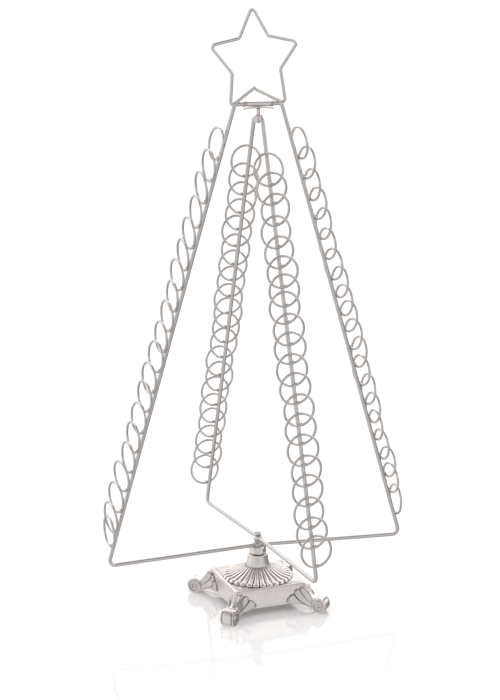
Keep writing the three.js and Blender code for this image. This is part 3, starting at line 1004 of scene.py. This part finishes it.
    def build(self) -> None:
        """Makes the hub's pieces."""
        made = (
            (self.nut(), "hexagon_nut", Body.OUTER, "frame_nut"),
            (self.boss(), "waisted_boss", Body.OUTER, "hub_boss"),
            (self.eye(), "bar_eye", Body.INNER, "inner_eye"),
            (self.screw(), "slotted_screw", Body.BASE, "pivot_screw"),
        )
        for draft, name, body, node in made:
            draft.piece(name, Finish.FITTING, body, Slot.FITTINGS, node)


@dataclass
class BaseTop:
    """The plinth with its bevelled plate, the fluted dome and the neck."""

    half: float = 43.7
    corner: float = 1.2
    top_z: float = 32.9
    skirt_z: float = 9.2
    wall: float = 4.0
    plate: float = 5.0
    plate_sink: float = 0.3
    plate_round_r: float = 36.0
    bore: float = 2.8
    flutes: int = 30
    flute_steps: int = 12
    rib_fall: float = 0.985
    rib_round: float = 2.8
    dome_r: float = 41.4
    dome_low: float = 33.0
    dome_high: float = 46.8
    crown_in: float = 0.6
    crown_curve: float = 1.4
    rim_high: float = 3.3
    nose: float = 5.2
    flute_deep: Pair = (0.9, 3.0)
    nose_cut: Triple = (0.9, 1.6, 3.2)
    seam_shade: float = 1.25
    nose_shade: float = 1.2
    rim_shade: float = 0.1
    neck_shade: float = 0.4
    neck_shade_end: float = 1 / 6
    neck_foot_r: float = 14.4
    neck_top_r: float = 11.9
    neck_low: float = 44.5
    neck_high: float = 60.2
    neck_curve: float = 1.6
    recess_r: float = 9.2
    recess: float = 2.6

    def square(self, half: float, corner: float, z: float) -> Points:
        """A square with rounded corners, with the same number of points at every size.

        Args:
            half: half its side.
            corner: its corner radius.
            z: its height.

        Returns:
            The loop's places.
        """
        straight = half - corner
        bend = np.linspace(0, math.pi / 2, 7)
        out = np.r_[np.full(23, half), straight + corner * np.cos(bend)]
        along = np.r_[np.linspace(-straight, straight, 25)[1:-1], straight + corner * np.sin(bend)]
        side = np.column_stack([out, along, np.full(len(out), z)])
        return np.vstack([turned_about_z(90.0 * quarter)(side) for quarter in range(4)])

    def plinth(self) -> Draft:
        """The plinth: a square shell, hollow below, with a bevelled plate and a hole for the screw.

        Returns:
            The plinth.
        """
        top, under, low, wall = self.top_z, self.top_z - self.plate, self.skirt_z, self.wall
        corner, floor = self.corner, top - self.plate_sink
        # Each row has its inset from the sides, its corner radius and its height.
        hollow = [(wall + 2.0, 2.5, under), (wall, 2.0, under - 1.5)]
        hollow += [(wall, 2.0, low + 0.6), (wall - 0.5, 1.8, low)]
        skirt = [(0.9, 0.9, low), (0.2, 1.1, low + 0.3)]
        skirt += [(0.0, corner, low + rise) for rise in (1.0, 8.0, 16.0)]
        bevel = [(0.0, corner, top - 1.9), (0.25, 1.1, top - 1.2), (0.8, 1.0, top - 0.45)]
        bevel += [(1.6, 0.9, top - 0.08), (2.3, 0.8, top), (3.0, 0.8, top - 0.1)]
        section = hollow + skirt + bevel + [(3.5, 0.8, floor)]
        outer = self.square(self.half, corner, 0.0)
        turn = np.arctan2(outer[:, 1], outer[:, 0])
        rows = [self.square(self.half - inset, bend, z) for inset, bend, z in section]
        rows.insert(0, polar(turn, self.bore, under))
        rows += [polar(turn, self.plate_round_r, floor), polar(turn, self.bore, floor)]
        # Painted shade: 0.5 under the plate and in the hollow, none on the skirt, 0.12 on the bevel to dim
        # its highlight, 0.3 at the step down to the plate, none on the plate.
        painted_shade = np.repeat([0.5, 0.0, 0.12, 0.3, 0.0], [1 + len(hollow), len(skirt), len(bevel), 1, 2])
        draft = Draft()
        draft.sheet(np.array(rows), looped=True, painted_shade=np.repeat(painted_shade, len(turn)))
        return draft

    def dome(self) -> Draft:
        """The fluted dome: round ribs that widen to the rim and end in rounded noses.

        Returns:
            The dome.
        """
        turn = round_angles(self.flutes * self.flute_steps)
        across = 2 * ((turn * self.flutes / FULL_TURN) % 1.0) - 1
        groove = 1 - np.sqrt(1 - self.rib_fall * np.abs(across) ** self.rib_round)
        low, high, rim = self.dome_low, self.dome_high, self.rim_high
        start, end = self.neck_foot_r - self.crown_in, self.dome_r - self.nose
        shallow, deep = self.flute_deep
        back, narrow, drop = self.nose_cut
        rows, painted_shades = [], []
        for t in np.linspace(0, 1, 15):
            crown = low + rim + (high - low - rim) * (1 - t) ** self.crown_curve
            cut = (shallow + (deep - shallow) * t) * groove
            rows.append(polar(turn, start + (end - start) * t, crown - cut))
            # Painted shade in the grooves, and near the neck.
            seam = self.seam_shade * groove ** (0.7 + 0.3 * t)
            painted_shades.append(np.clip(seam + self.neck_shade * part_way(t, self.neck_shade_end, 0.0), 0, 1))
        for t in np.linspace(0.12, 1, 9):
            out, up = math.sin(t * math.pi / 2), math.cos(t * math.pi / 2)
            radius = end + (self.nose - narrow * groove) * out - back * groove
            rows.append(polar(turn, radius, low + (rim - drop * groove) * up))
            # Painted shade between the noses and low on the rim.
            painted_shades.append(np.clip(self.nose_shade * groove**1.2 + self.rim_shade * t**4, 0, 1))
        # The bore is painted fully in shade.
        for z in (low, high - 0.4):
            rows.append(polar(turn, self.bore, z))
            painted_shades.append(np.ones_like(turn))
        draft = Draft()
        draft.sheet(np.array(rows), looped=True, painted_shade=np.array(painted_shades))
        return draft

    def neck(self) -> Draft:
        """The neck: a flared post with a rim and a recess in its top.

        Returns:
            The neck.
        """
        low, high, top, well_r = self.neck_low, self.neck_high, self.neck_top_r, self.recess_r
        foot, flare_low = self.neck_foot_r - 0.35, self.neck_low + 1.0
        flare = [
            (top - 0.15 + (foot - top) * (1 - t) ** self.neck_curve, flare_low + (high - low - 2.0) * t)
            for t in np.linspace(0.15, 1, 7)
        ]
        rim = [(top, high - 0.8), (top - 0.12, high - 0.3), (top - 0.55, high), (well_r + 0.4, high)]
        well = [(well_r, high - 0.4), (well_r, high - self.recess), (self.bore, high - self.recess)]
        outline = [(self.bore, low), (self.neck_foot_r, low), (foot, flare_low)] + flare + rim + well
        # Painted shade: a little over the whole neck, full at its foot on the dome and in the recess.
        painted_shade = np.full(len(outline), 0.08)
        painted_shade[1:3] = (1.0, 0.6)
        painted_shade[-3:] = 1.0
        draft = Draft()
        draft.turned(outline, steps=72, painted_shade=painted_shade)
        return draft

    def build(self) -> None:
        """Makes the base's upper pieces."""
        labels = (Finish.CASTING, Body.BASE, Slot.CASTING)
        self.plinth().piece("bevelled_plinth", *labels, "plinth")
        self.dome().piece("fluted_dome", *labels, "dome", crease=60)
        self.neck().piece("flared_neck", *labels, "neck")


@dataclass
class ScrollFoot:
    """A foot: a solid ankle under a strip that rolls up into a scroll, with a leaf on each side."""

    half: float = 43.7
    scroll_d: float = 79.5
    scroll_z: float = 9.2
    scroll_r: float = 9.7
    strip: float = 2.9
    strip_thin: float = 0.42
    lip_angle: float = 104.0
    turns: float = 1.75
    open_turn: float = 170.0
    tighten: float = 4.8
    width: float = 16.0
    width_ankle: float = 0.3
    width_roll: float = 0.06
    climb: float = 60.0
    panel: Pair = (50.0, -42.0)
    panel_fade: Pair = (6.0, 2.0)
    groove_at: float = 0.72
    groove_wide: float = 0.075
    groove_turn: float = 5.0
    groove_deep: float = 0.95
    pillow_high: float = 0.35
    pillow_half: float = 0.66
    rim_drop: float = 0.6
    ridge_high: float = 0.4
    ridge_wide: float = 0.3
    hollow_at: float = 0.55
    hollow_wide: float = 0.2
    hollow_deep: float = 0.35
    hollow_shade: float = 0.25
    web_in: float = 0.9
    web_r: float = 7.6
    eye_out: float = 0.3
    eye_r: float = 1.9
    ankle_half: float = 5.5
    ankle_run: Pair = (52.0, 73.5)
    ankle_edge: float = 1.4
    ankle_soft: float = 0.4
    ankle: Outline = ((62.4, 29.4), (64.2, 25.2), (66.8, 20.8), (70.2, 17.4), (74.0, 15.9))
    sole: Outline = ((50.0, 8.7), (57.0, 8.1), (63.0, 7.0), (69.0, 4.6), (77.0, 1.6))
    spine: Sequence[Triple] = ((64.3, 27.7, 1.9), (66.3, 23.5, 1.7), (69.0, 19.9, 1.5))
    ground_run: Pair = (-18.0, 30.0)
    ground_bend: float = 4.0
    relief: float = 2.4
    relief_low: float = 0.5
    relief_run: Pair = (-6.0, 3.0)
    leaf_root: float = 1.0
    lobe_round: float = 0.15
    lobe_edge: float = 0.28
    lobe_edge_shade_at: Pair = (0.78, 0.98)
    vein_at: float = 0.36
    vein_wide: float = 0.1
    vein_deep: float = 0.24
    leaf_shade: float = 0.1
    tip_shade: float = 0.9
    vein_shade: float = 0.3
    leaf: Sequence[Outline] = (
        ((-14.0, 19.0), (-11.0, 22.4), (-8.6, 25.4), (-6.6, 28.0)),
        ((-14.0, 10.5), (-6.7, 16.5), (-1.5, 22.5), (1.8, 28.4)),
        ((-14.0, 6.4), (-5.0, 9.0), (1.7, 13.0), (6.0, 18.0), (9.5, 24.0)),
        ((-14.0, 3.6), (-9.0, 5.8), (-4.0, 7.0), (2.0, 7.6), (8.0, 8.6), (13.0, 9.8), (20.5, 11.8)),
    )

    def strip_route(self) -> tuple[Points, Points]:
        """The strip's middle line, in outward distance and height, and how far it has rolled.

        Returns:
            The places, and the degrees rolled at each, which are negative on the ankle.
        """
        rolled = np.linspace(0.0, 360.0 * self.turns, 150)
        inward = self.tighten * np.maximum(rolled - self.open_turn, 0) / 360
        roll = polar(np.radians(self.lip_angle - rolled), self.scroll_r - self.strip / 2 - inward, 0.0)
        roll = roll[:, :2] + (self.scroll_d, self.scroll_z)
        ankle = smooth([*self.ankle, tuple(roll[0])], 5)[:-1]
        return np.vstack([ankle, roll]), np.r_[np.linspace(-90.0, -3.0, len(ankle)), rolled]

    def carving(self, flat: Points, rolled: float) -> tuple[Points, Points]:
        """The strip's carved face: plain rims beside a pillow panel that grooves set off.

        Args:
            flat: places across the strip, from -1 to 1.
            rolled: degrees rolled.

        Returns:
            How much the face stands out, and how much shade is painted on each place.
        """
        angle, off_middle = self.lip_angle - rolled, np.abs(flat)
        top, low = self.panel
        over, into = self.panel_fade
        beside = hump(off_middle, self.groove_at, self.groove_wide)
        beside *= part_way(angle, top + over, top - into) * part_way(angle, low - over, low + into)
        ends = hump(angle, top, self.groove_turn) + hump(angle, low, self.groove_turn)
        ends = ends * (off_middle < self.groove_at + 0.02)
        groove = np.clip(beside + ends, 0, 1)
        along = (angle - (top + low) / 2) / ((top - low) / 2)
        pillow = np.clip(1 - (flat / self.pillow_half) ** 4, 0, 1) * max(0.0, 1 - along**4)
        climbing = part_way(rolled, 0.0, -self.climb)
        hollow = climbing * hump(off_middle, self.hollow_at, self.hollow_wide)
        ridge = climbing * hump(flat, 0.0, self.ridge_wide)
        lift = self.pillow_high * pillow - self.groove_deep * groove - self.rim_drop * off_middle**16
        lift += self.ridge_high * ridge - self.hollow_deep * hollow
        # Painted shade fills the grooves, and less of it the hollows.
        return lift, np.clip(groove**1.5 + self.hollow_shade * hollow, 0, 1)

    def scroll(self) -> Draft:
        """The strip on its ankle and its roll, with web and eye buttons, and lumps down its spine.

        Returns:
            The scroll, outward along X.
        """
        route, rolled = self.strip_route()
        ahead = np.gradient(route, axis=0)
        ahead /= np.linalg.norm(ahead, axis=1)[:, None]
        out = np.stack([-ahead[:, 1], ahead[:, 0]], axis=1)
        flat, back = np.linspace(-1, 1, 29), np.linspace(1, -1, 7)
        rows, painted_shades = [], []
        for place, normal, turned in zip(route, out, rolled):
            part = max(0.0, turned) / (360.0 * self.turns)
            narrow = 1 - self.width_ankle * part_way(turned, 0.0, -self.climb)
            across = np.r_[flat, back] * self.width / 2 * narrow * (1 + self.width_roll * part)
            half_thick = self.strip / 2 * (1 - self.strip_thin * part)
            lift, painted_shade = self.carving(flat, turned)
            offset = np.r_[half_thick + lift, np.full(len(back), -half_thick)]
            d, z = place[:, None] + normal[:, None] * offset
            rows.append(np.stack([d, across, z], axis=1))
            # The strip's back is painted in shade.
            painted_shades.append(np.r_[painted_shade, np.full(len(back), 0.45)])
        draft = Draft()
        draft.sheet(np.array(rows), looped=False, painted_shade=np.array(painted_shades))
        self._web(draft)
        self._ankle(draft)
        # The spine's lumps get a little painted shade.
        for d, z, r in self.spine:
            draft.bead((d, 0.0, z), (r, r, r), painted_shade=0.1)
        draft.placed(lambda p: np.column_stack([p[:, :2], np.maximum(p[:, 2], 0.0)]))
        return draft

    def _web(self, draft: Draft) -> None:
        """Adds the web inside the roll and the eye's buttons.

        Args:
            draft: the scroll.
        """
        deep, eye, r = self.width / 2 - self.web_in, self.width / 2 + self.eye_out, self.eye_r
        web = Draft()
        disc = [(AXIS_R, -deep), (self.web_r, -deep), (self.web_r, deep), (AXIS_R, deep)]
        # Painted shade on the web inside the roll, and round the buttons' roots.
        web.turned(disc, steps=40, painted_shade=0.3)
        button = [(AXIS_R, deep - 1), (r, deep - 1), (r, eye - 0.7), (r - 0.6, eye - 0.1), (AXIS_R, eye)]
        for side in (-1, 1):
            web.turned([(reach, side * z) for reach, z in button], steps=24, painted_shade=(0.5, 0.5, 0.2, 0, 0))
        middle = np.array([self.scroll_d, 0.0, self.scroll_z])
        draft.merge(web, lambda p: p[:, (0, 2, 1)] + middle)

    def _ankle(self, draft: Draft) -> None:
        """Adds the solid under the strip, from inside the plinth's corner to inside the scroll.

        Args:
            draft: the scroll.
        """
        top = np.vstack([[(self.half, self.ankle[0][1])], smooth(self.ankle, 5)])
        half, edge, soft = self.ankle_half, self.ankle_edge, self.ankle_soft
        rows = []
        for d in np.linspace(*self.ankle_run, 16):
            high, low = np.interp(d, *top.T), np.interp(d, *np.transpose(self.sole))
            left = [(-half, high), (-half, low + edge), (soft - half, low + soft), (edge - half, low)]
            rows.append([(d, f, z) for f, z in left] + [(d, -f, z) for f, z in reversed(left)])
        # Painted shade on the ankle, most along its underside.
        painted_shade = np.array([0.3, 0.25, 0.4, 0.7, 0.7, 0.4, 0.25, 0.3])
        draft.sheet(np.array(rows), looped=False, painted_shade=np.tile(painted_shade, len(rows)))

    def _ground(self, run: Points) -> tuple[Points, Points]:
        """Where the leaf lies in plan: along the ankle, round a soft bend and along the plinth's side.

        Args:
            run: distances along it, from the bend towards the plinth.

        Returns:
            Places in outward and sideways distance, and the ways out of the surface.
        """
        near, far = self.ground_run
        steps = np.linspace(near, far, 193)
        share = part_way(steps, -self.ground_bend, self.ground_bend)
        angle = math.pi / 4 * share**2 * (3 - 2 * share)
        way = np.stack([-np.cos(angle), np.sin(angle)], axis=1)
        line = np.cumsum(way, axis=0) * (steps[1] - steps[0])
        corner = self.half * math.sqrt(2.0) - self.ankle_half
        end = np.array([corner, self.ankle_half]) + far * math.sqrt(0.5) * np.array([-1.0, 1.0])
        line += end - line[-1]
        places = np.stack([np.interp(run, steps, column) for column in line.T], axis=-1)
        lean = np.interp(run, steps, angle)
        return places, np.stack([np.sin(lean), np.cos(lean)], axis=-1)

    def leaves(self) -> Draft:
        """The leaf on one side: three lobes that fan out from the scroll along ankle and plinth.

        Returns:
            The leaf, with X outward along the foot and Y to its side.
        """
        share = np.linspace(0, 1, 22)
        rise = part_way(share, 1.0, 0.9) ** 0.5
        draft = Draft()
        edges = [smooth(points, 12) for points in self.leaf]
        for upper, lower in zip(edges, edges[1:]):
            shell, painted_shades = [], []
            for w in np.linspace(-1, 1, 19):
                reach = share * (1 - self.lobe_round * (1 - math.sqrt(1 - w * w)))
                line = (1 - w) / 2 * self._along(upper, reach) + (1 + w) / 2 * self._along(lower, reach)
                places, normals = self._ground(line[:, 0])
                vein = hump(abs(w), self.vein_at, self.vein_wide) * part_way(share, 0.0, 1 / 3) * rise
                body = self.lobe_edge + (1 - self.lobe_edge) * math.sqrt(1 - abs(w) ** 5)
                tall = self.relief_low + (1 - self.relief_low) * part_way(line[:, 0], *self.relief_run)
                lift = self.relief * tall * body * rise - self.vein_deep * vein
                lift = np.maximum(lift, -0.1)[:, None]
                front = np.column_stack([places + normals * lift, line[:, 1]])
                floor = np.column_stack([places - normals * self.leaf_root, line[:, 1]])
                # Painted shade: a little over each lobe, more towards its edges, at its tip and in its
                # vein, and full on the hidden back.
                edge = part_way(abs(w), *self.lobe_edge_shade_at) * (0.4 + 0.6 * part_way(share, 0.2, 0.6))
                dark = self.leaf_shade + edge + self.tip_shade * (1 - rise) + self.vein_shade * vein
                shell.append(np.vstack([front, floor[::-1]]))
                painted_shades.append(np.r_[np.clip(dark, 0, 1), np.ones(len(share))])
            draft.sheet(np.array(shell), looped=False, painted_shade=np.array(painted_shades))
        return draft

    @staticmethod
    def _along(curve: Points, share: Points) -> Points:
        """Places at shares of a curve's length."""
        length = np.r_[0.0, np.cumsum(np.linalg.norm(np.diff(curve, axis=0), axis=1))]
        return np.stack([np.interp(share * length[-1], length, column) for column in curve.T], axis=1)

    def build(self) -> None:
        """Makes the four feet."""
        scroll, leaf = self.scroll(), self.leaves()
        for quarter, name in enumerate(("back_right", "back_left", "front_left", "front_right")):
            place = turned_about_z(45.0 + 90.0 * quarter)
            foot = Draft()
            foot.merge(scroll, place)
            foot.merge(leaf, place)
            foot.merge(leaf, lambda p: place(p * (1.0, -1.0, 1.0)))
            labels = (Finish.CASTING, Body.BASE, Slot.CASTING)
            foot.piece(f"scroll_{name}", *labels, f"foot_{name}", crease=40)


@dataclass
class HiddenFixings:
    """The steel pieces inside the neck and under the plinth, which keep their CAD meshes."""

    names: Sequence[str] = ("swivel_washer", "base_washer", "base_nut")

    def build(self, nodes: dict[str, bpy.types.Object]) -> None:
        """Dresses the pieces.

        Args:
            nodes: the CAD objects by name.
        """
        for name in self.names:
            materials = nodes[name].data.materials
            materials.clear()
            materials.append(Finish.STEEL.value.material())
            LOG.info("%s: CAD mesh", name)


@dataclass(frozen=True)
class Step:
    """A level of light, and the two edges between which it sets in."""

    level: float
    start: float
    end: float


@dataclass
class Studio:
    """The camera at the photograph's angle, the white sweep and the soft light."""

    azimuth: float = -21.0
    elevation: float = 13.01
    target: Triple = (-8.5, 3.26, 305.3)
    distance: float = 1856.0
    lens: float = 83.47
    sensor: float = 36.0
    view_depth: float = 100.0
    sweep: float = 2500.0
    lamp_target: Triple = (0.0, 0.0, 250.0)
    sky_place: Triple = (-400.0, -500.0, 3000.0)
    sky_width: float = 100.0
    sky_power: float = 1.6
    key_place: Triple = (-900.0, -1300.0, 1900.0)
    key_size: float = 700.0
    key_power: float = 6.0
    air: Colour = (1.0, 0.985, 0.975)
    seen_white: float = 1.1
    low_sides: Pair = (0.24, 0.88)
    low_front: Step = Step(0.7, 0.0, 0.7)
    low_notch: Step = Step(0.5, 0.9, 0.99)
    low_gloom: Step = Step(0.2, 0.82, 0.98)
    gloom_turn: float = -38.0
    back: float = 1.0
    back_crown: Step = Step(1.5, 0.36, 0.5)
    front: float = 0.74
    front_crown: Step = Step(0.42, 0.4, 0.65)
    back_to_front: Pair = (-0.4, 0.5)
    horizon: Pair = (-0.04, 0.08)
    zenith: Step = Step(0.24, 0.75, 0.97)

    def toward_camera(self, elevation: float, turn: float = 0.0) -> Vector:
        """The unit step from the tree to the camera, at an elevation and turned aside, in degrees."""
        a, e = math.radians(self.azimuth + turn), math.radians(elevation)
        return Vector((math.sin(a) * math.cos(e), -math.cos(a) * math.cos(e), math.sin(e)))

    @staticmethod
    def aimed(data: Any, place: Vector, target: Sequence[float]) -> bpy.types.Object:
        """Hangs a camera or a lamp, pointing at a target.

        Args:
            data: the camera or lamp.
            place: where it hangs.
            target: where it points.

        Returns:
            The new object.
        """
        made = bpy.data.objects.new(data.name, data)
        made.location = place * MM
        made.rotation_mode = "QUATERNION"
        made.rotation_quaternion = (Vector(target) - place).to_track_quat("-Z", "Y")
        bpy.context.scene.collection.objects.link(made)
        return made

    def camera(self) -> None:
        """Makes the camera."""
        data = bpy.data.cameras.new("camera")
        data.lens = self.lens
        data.sensor_width = self.sensor
        data.clip_end = self.view_depth
        place = Vector(self.target) + self.toward_camera(self.elevation) * self.distance
        bpy.context.scene.camera = self.aimed(data, place, self.target)

    def floor(self) -> None:
        """Makes the white sweep, which the metal doesn't mirror."""
        mesh = bpy.data.meshes.new("white_sweep")
        s = self.sweep * MM
        mesh.from_pydata([(-s, -s, 0), (s, -s, 0), (s, s, 0), (-s, s, 0)], [], [(0, 1, 2, 3)])
        mesh.materials.append(FloorFinish().material())
        made = bpy.data.objects.new("white_sweep", mesh)
        made.visible_glossy = False
        bpy.context.scene.collection.objects.link(made)

    def lamps(self) -> None:
        """Makes a wide soft sky and a key lamp, which the metal doesn't mirror."""
        sky = bpy.data.lights.new("sky", "SUN")
        sky.angle = math.radians(self.sky_width)
        sky.energy = self.sky_power
        key = bpy.data.lights.new("key", "AREA")
        key.size = self.key_size * MM
        key.energy = self.key_power
        for data, place in ((sky, self.sky_place), (key, self.key_place)):
            self.aimed(data, Vector(place), self.lamp_target).visible_glossy = False

    def surroundings(self) -> None:
        """Makes the world: white to the camera, and to the metal levels of light by side and height."""
        world = bpy.data.worlds.new("studio")
        board = Board(world)
        way = board.value("ShaderNodeTexCoord", {}, {}, "Generated")
        height = board.value("ShaderNodeSeparateXYZ", {}, {"Vector": way}, "Z")

        def facing(turn: float) -> Value:
            """How much a way points to the camera, or to a place turned aside from it."""
            sockets = {0: way, 1: tuple(self.toward_camera(0.0, turn))}
            return board.value("ShaderNodeVectorMath", {"operation": "DOT_PRODUCT"}, sockets, "Value")

        def stepped(level: Operand, step: Step, over: Value) -> Value:
            """A level of light that goes over to a step's own level."""
            return level + (step.level - level) * board.ramp(over, step.start, step.end)

        to_camera = facing(0.0)
        right, left = self.low_sides
        low = (left + right) / 2 - facing(90.0) * ((left - right) / 2)
        low = stepped(low, self.low_front, to_camera)
        low = stepped(low, self.low_notch, to_camera)
        low = stepped(low, self.low_gloom, facing(180.0 + self.gloom_turn))
        back = stepped(self.back, self.back_crown, height)
        front = stepped(self.front, self.front_crown, height)
        high = back.toward(front, board.ramp(to_camera, *self.back_to_front))
        level = stepped(low.toward(high, board.ramp(height, *self.horizon)), self.zenith, height)
        level = level.toward(self.seen_white, board.value("ShaderNodeLightPath", {}, {}, "Is Camera Ray"))
        sky = board.value("ShaderNodeBackground", {}, {"Color": (*self.air, 1.0), "Strength": level})
        board.node("ShaderNodeOutputWorld", {}, {"Surface": sky})
        bpy.context.scene.world = world
        bpy.context.scene.view_settings.view_transform = "Standard"

    def build(self) -> None:
        """Sets up camera, floor and light."""
        self.camera()
        self.floor()
        self.surroundings()
        self.lamps()


def outer_frame() -> WireFrame:
    """The outer frame, with the rings that the photograph shows best as stations.

    Returns:
        The frame with its sizes.
    """
    left = {
        0: Perch(87.6, -0.04, -0.10, -2.4),
        1: Perch(104.0, -0.05, -0.22, -7.0),
        14: Perch(400.5, -0.05, -0.12, -7.5),
        18: Perch(499.0, -0.06, -0.12, -5.5),
        19: Perch(524.0, 0.12, -0.17, -4.7),
    }
    right = {
        0: Perch(90.3, 0.0, 0.0, 3.7),
        1: Perch(119.2, 0.02, -0.12, -2.0),
        9: Perch(299.0, -0.04, -0.17, -1.5),
        12: Perch(361.0, -0.05, -0.18, -3.0),
        18: Perch(499.5, 0.01, -0.19, -3.5),
        19: Perch(523.0, 0.13, -0.16, -4.2),
    }
    return WireFrame(
        body=Body.OUTER,
        turn=-3.1,
        foot_half=180.0,
        foot_z=64.475,
        hub_z=70.275,
        hub_reach=4.6,
        top_z=584.475,
        top_reach=0.0,
        rows={
            Side.NEAR: RingRow("outer_left", left, lean_out=0.13, seed=3),
            Side.FAR: RingRow("outer_right", right, lean_out=0.13, seed=5),
        },
    )


def inner_frame() -> WireFrame:
    """The inner frame, whose rings lean out less, so that they clear the outer frame when it folds.

    Returns:
        The frame with its sizes.
    """
    back = {
        0: Perch(103.1, -0.06, 0.01, 4.3),
        9: Perch(296.0, -0.06, -0.12, -0.5),
        11: Perch(333.0, -0.06, 0.0, -0.5),
        18: Perch(477.5, -0.06, -0.02, 0.0),
        19: Perch(500.1, 0.01, 0.02, -0.2),
    }
    front = {
        0: Perch(95.3, 0.0, 0.01, 0.2),
        2: Perch(136.5, -0.02, 0.03, -1.6),
        11: Perch(330.0, 0.0, 0.08, -1.7),
        15: Perch(411.0, -0.03, -0.03, -1.8),
        18: Perch(476.5, 0.01, -0.07, -1.8),
        19: Perch(497.7, 0.12, -0.03, -2.6),
    }
    return WireFrame(
        body=Body.INNER,
        turn=-86.9,
        foot_half=155.473,
        foot_z=76.65,
        hub_z=79.75,
        hub_reach=4.8,
        top_z=568.275,
        top_reach=4.6,
        rows={
            Side.NEAR: RingRow("inner_back", back, lean_out=0.07, seed=7),
            Side.FAR: RingRow("inner_front", front, lean_out=0.07, seed=11),
        },
    )


def main() -> None:
    """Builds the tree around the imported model."""
    logging.basicConfig(level=logging.INFO, format="%(name)s %(message)s")
    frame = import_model()
    for assembly in (Studio(), outer_frame(), inner_frame(), StarTop(), Hub(), BaseTop(), ScrollFoot()):
        assembly.build()
    HiddenFixings().build(frame["nodes"])


if __name__ == "__main__":
    main()
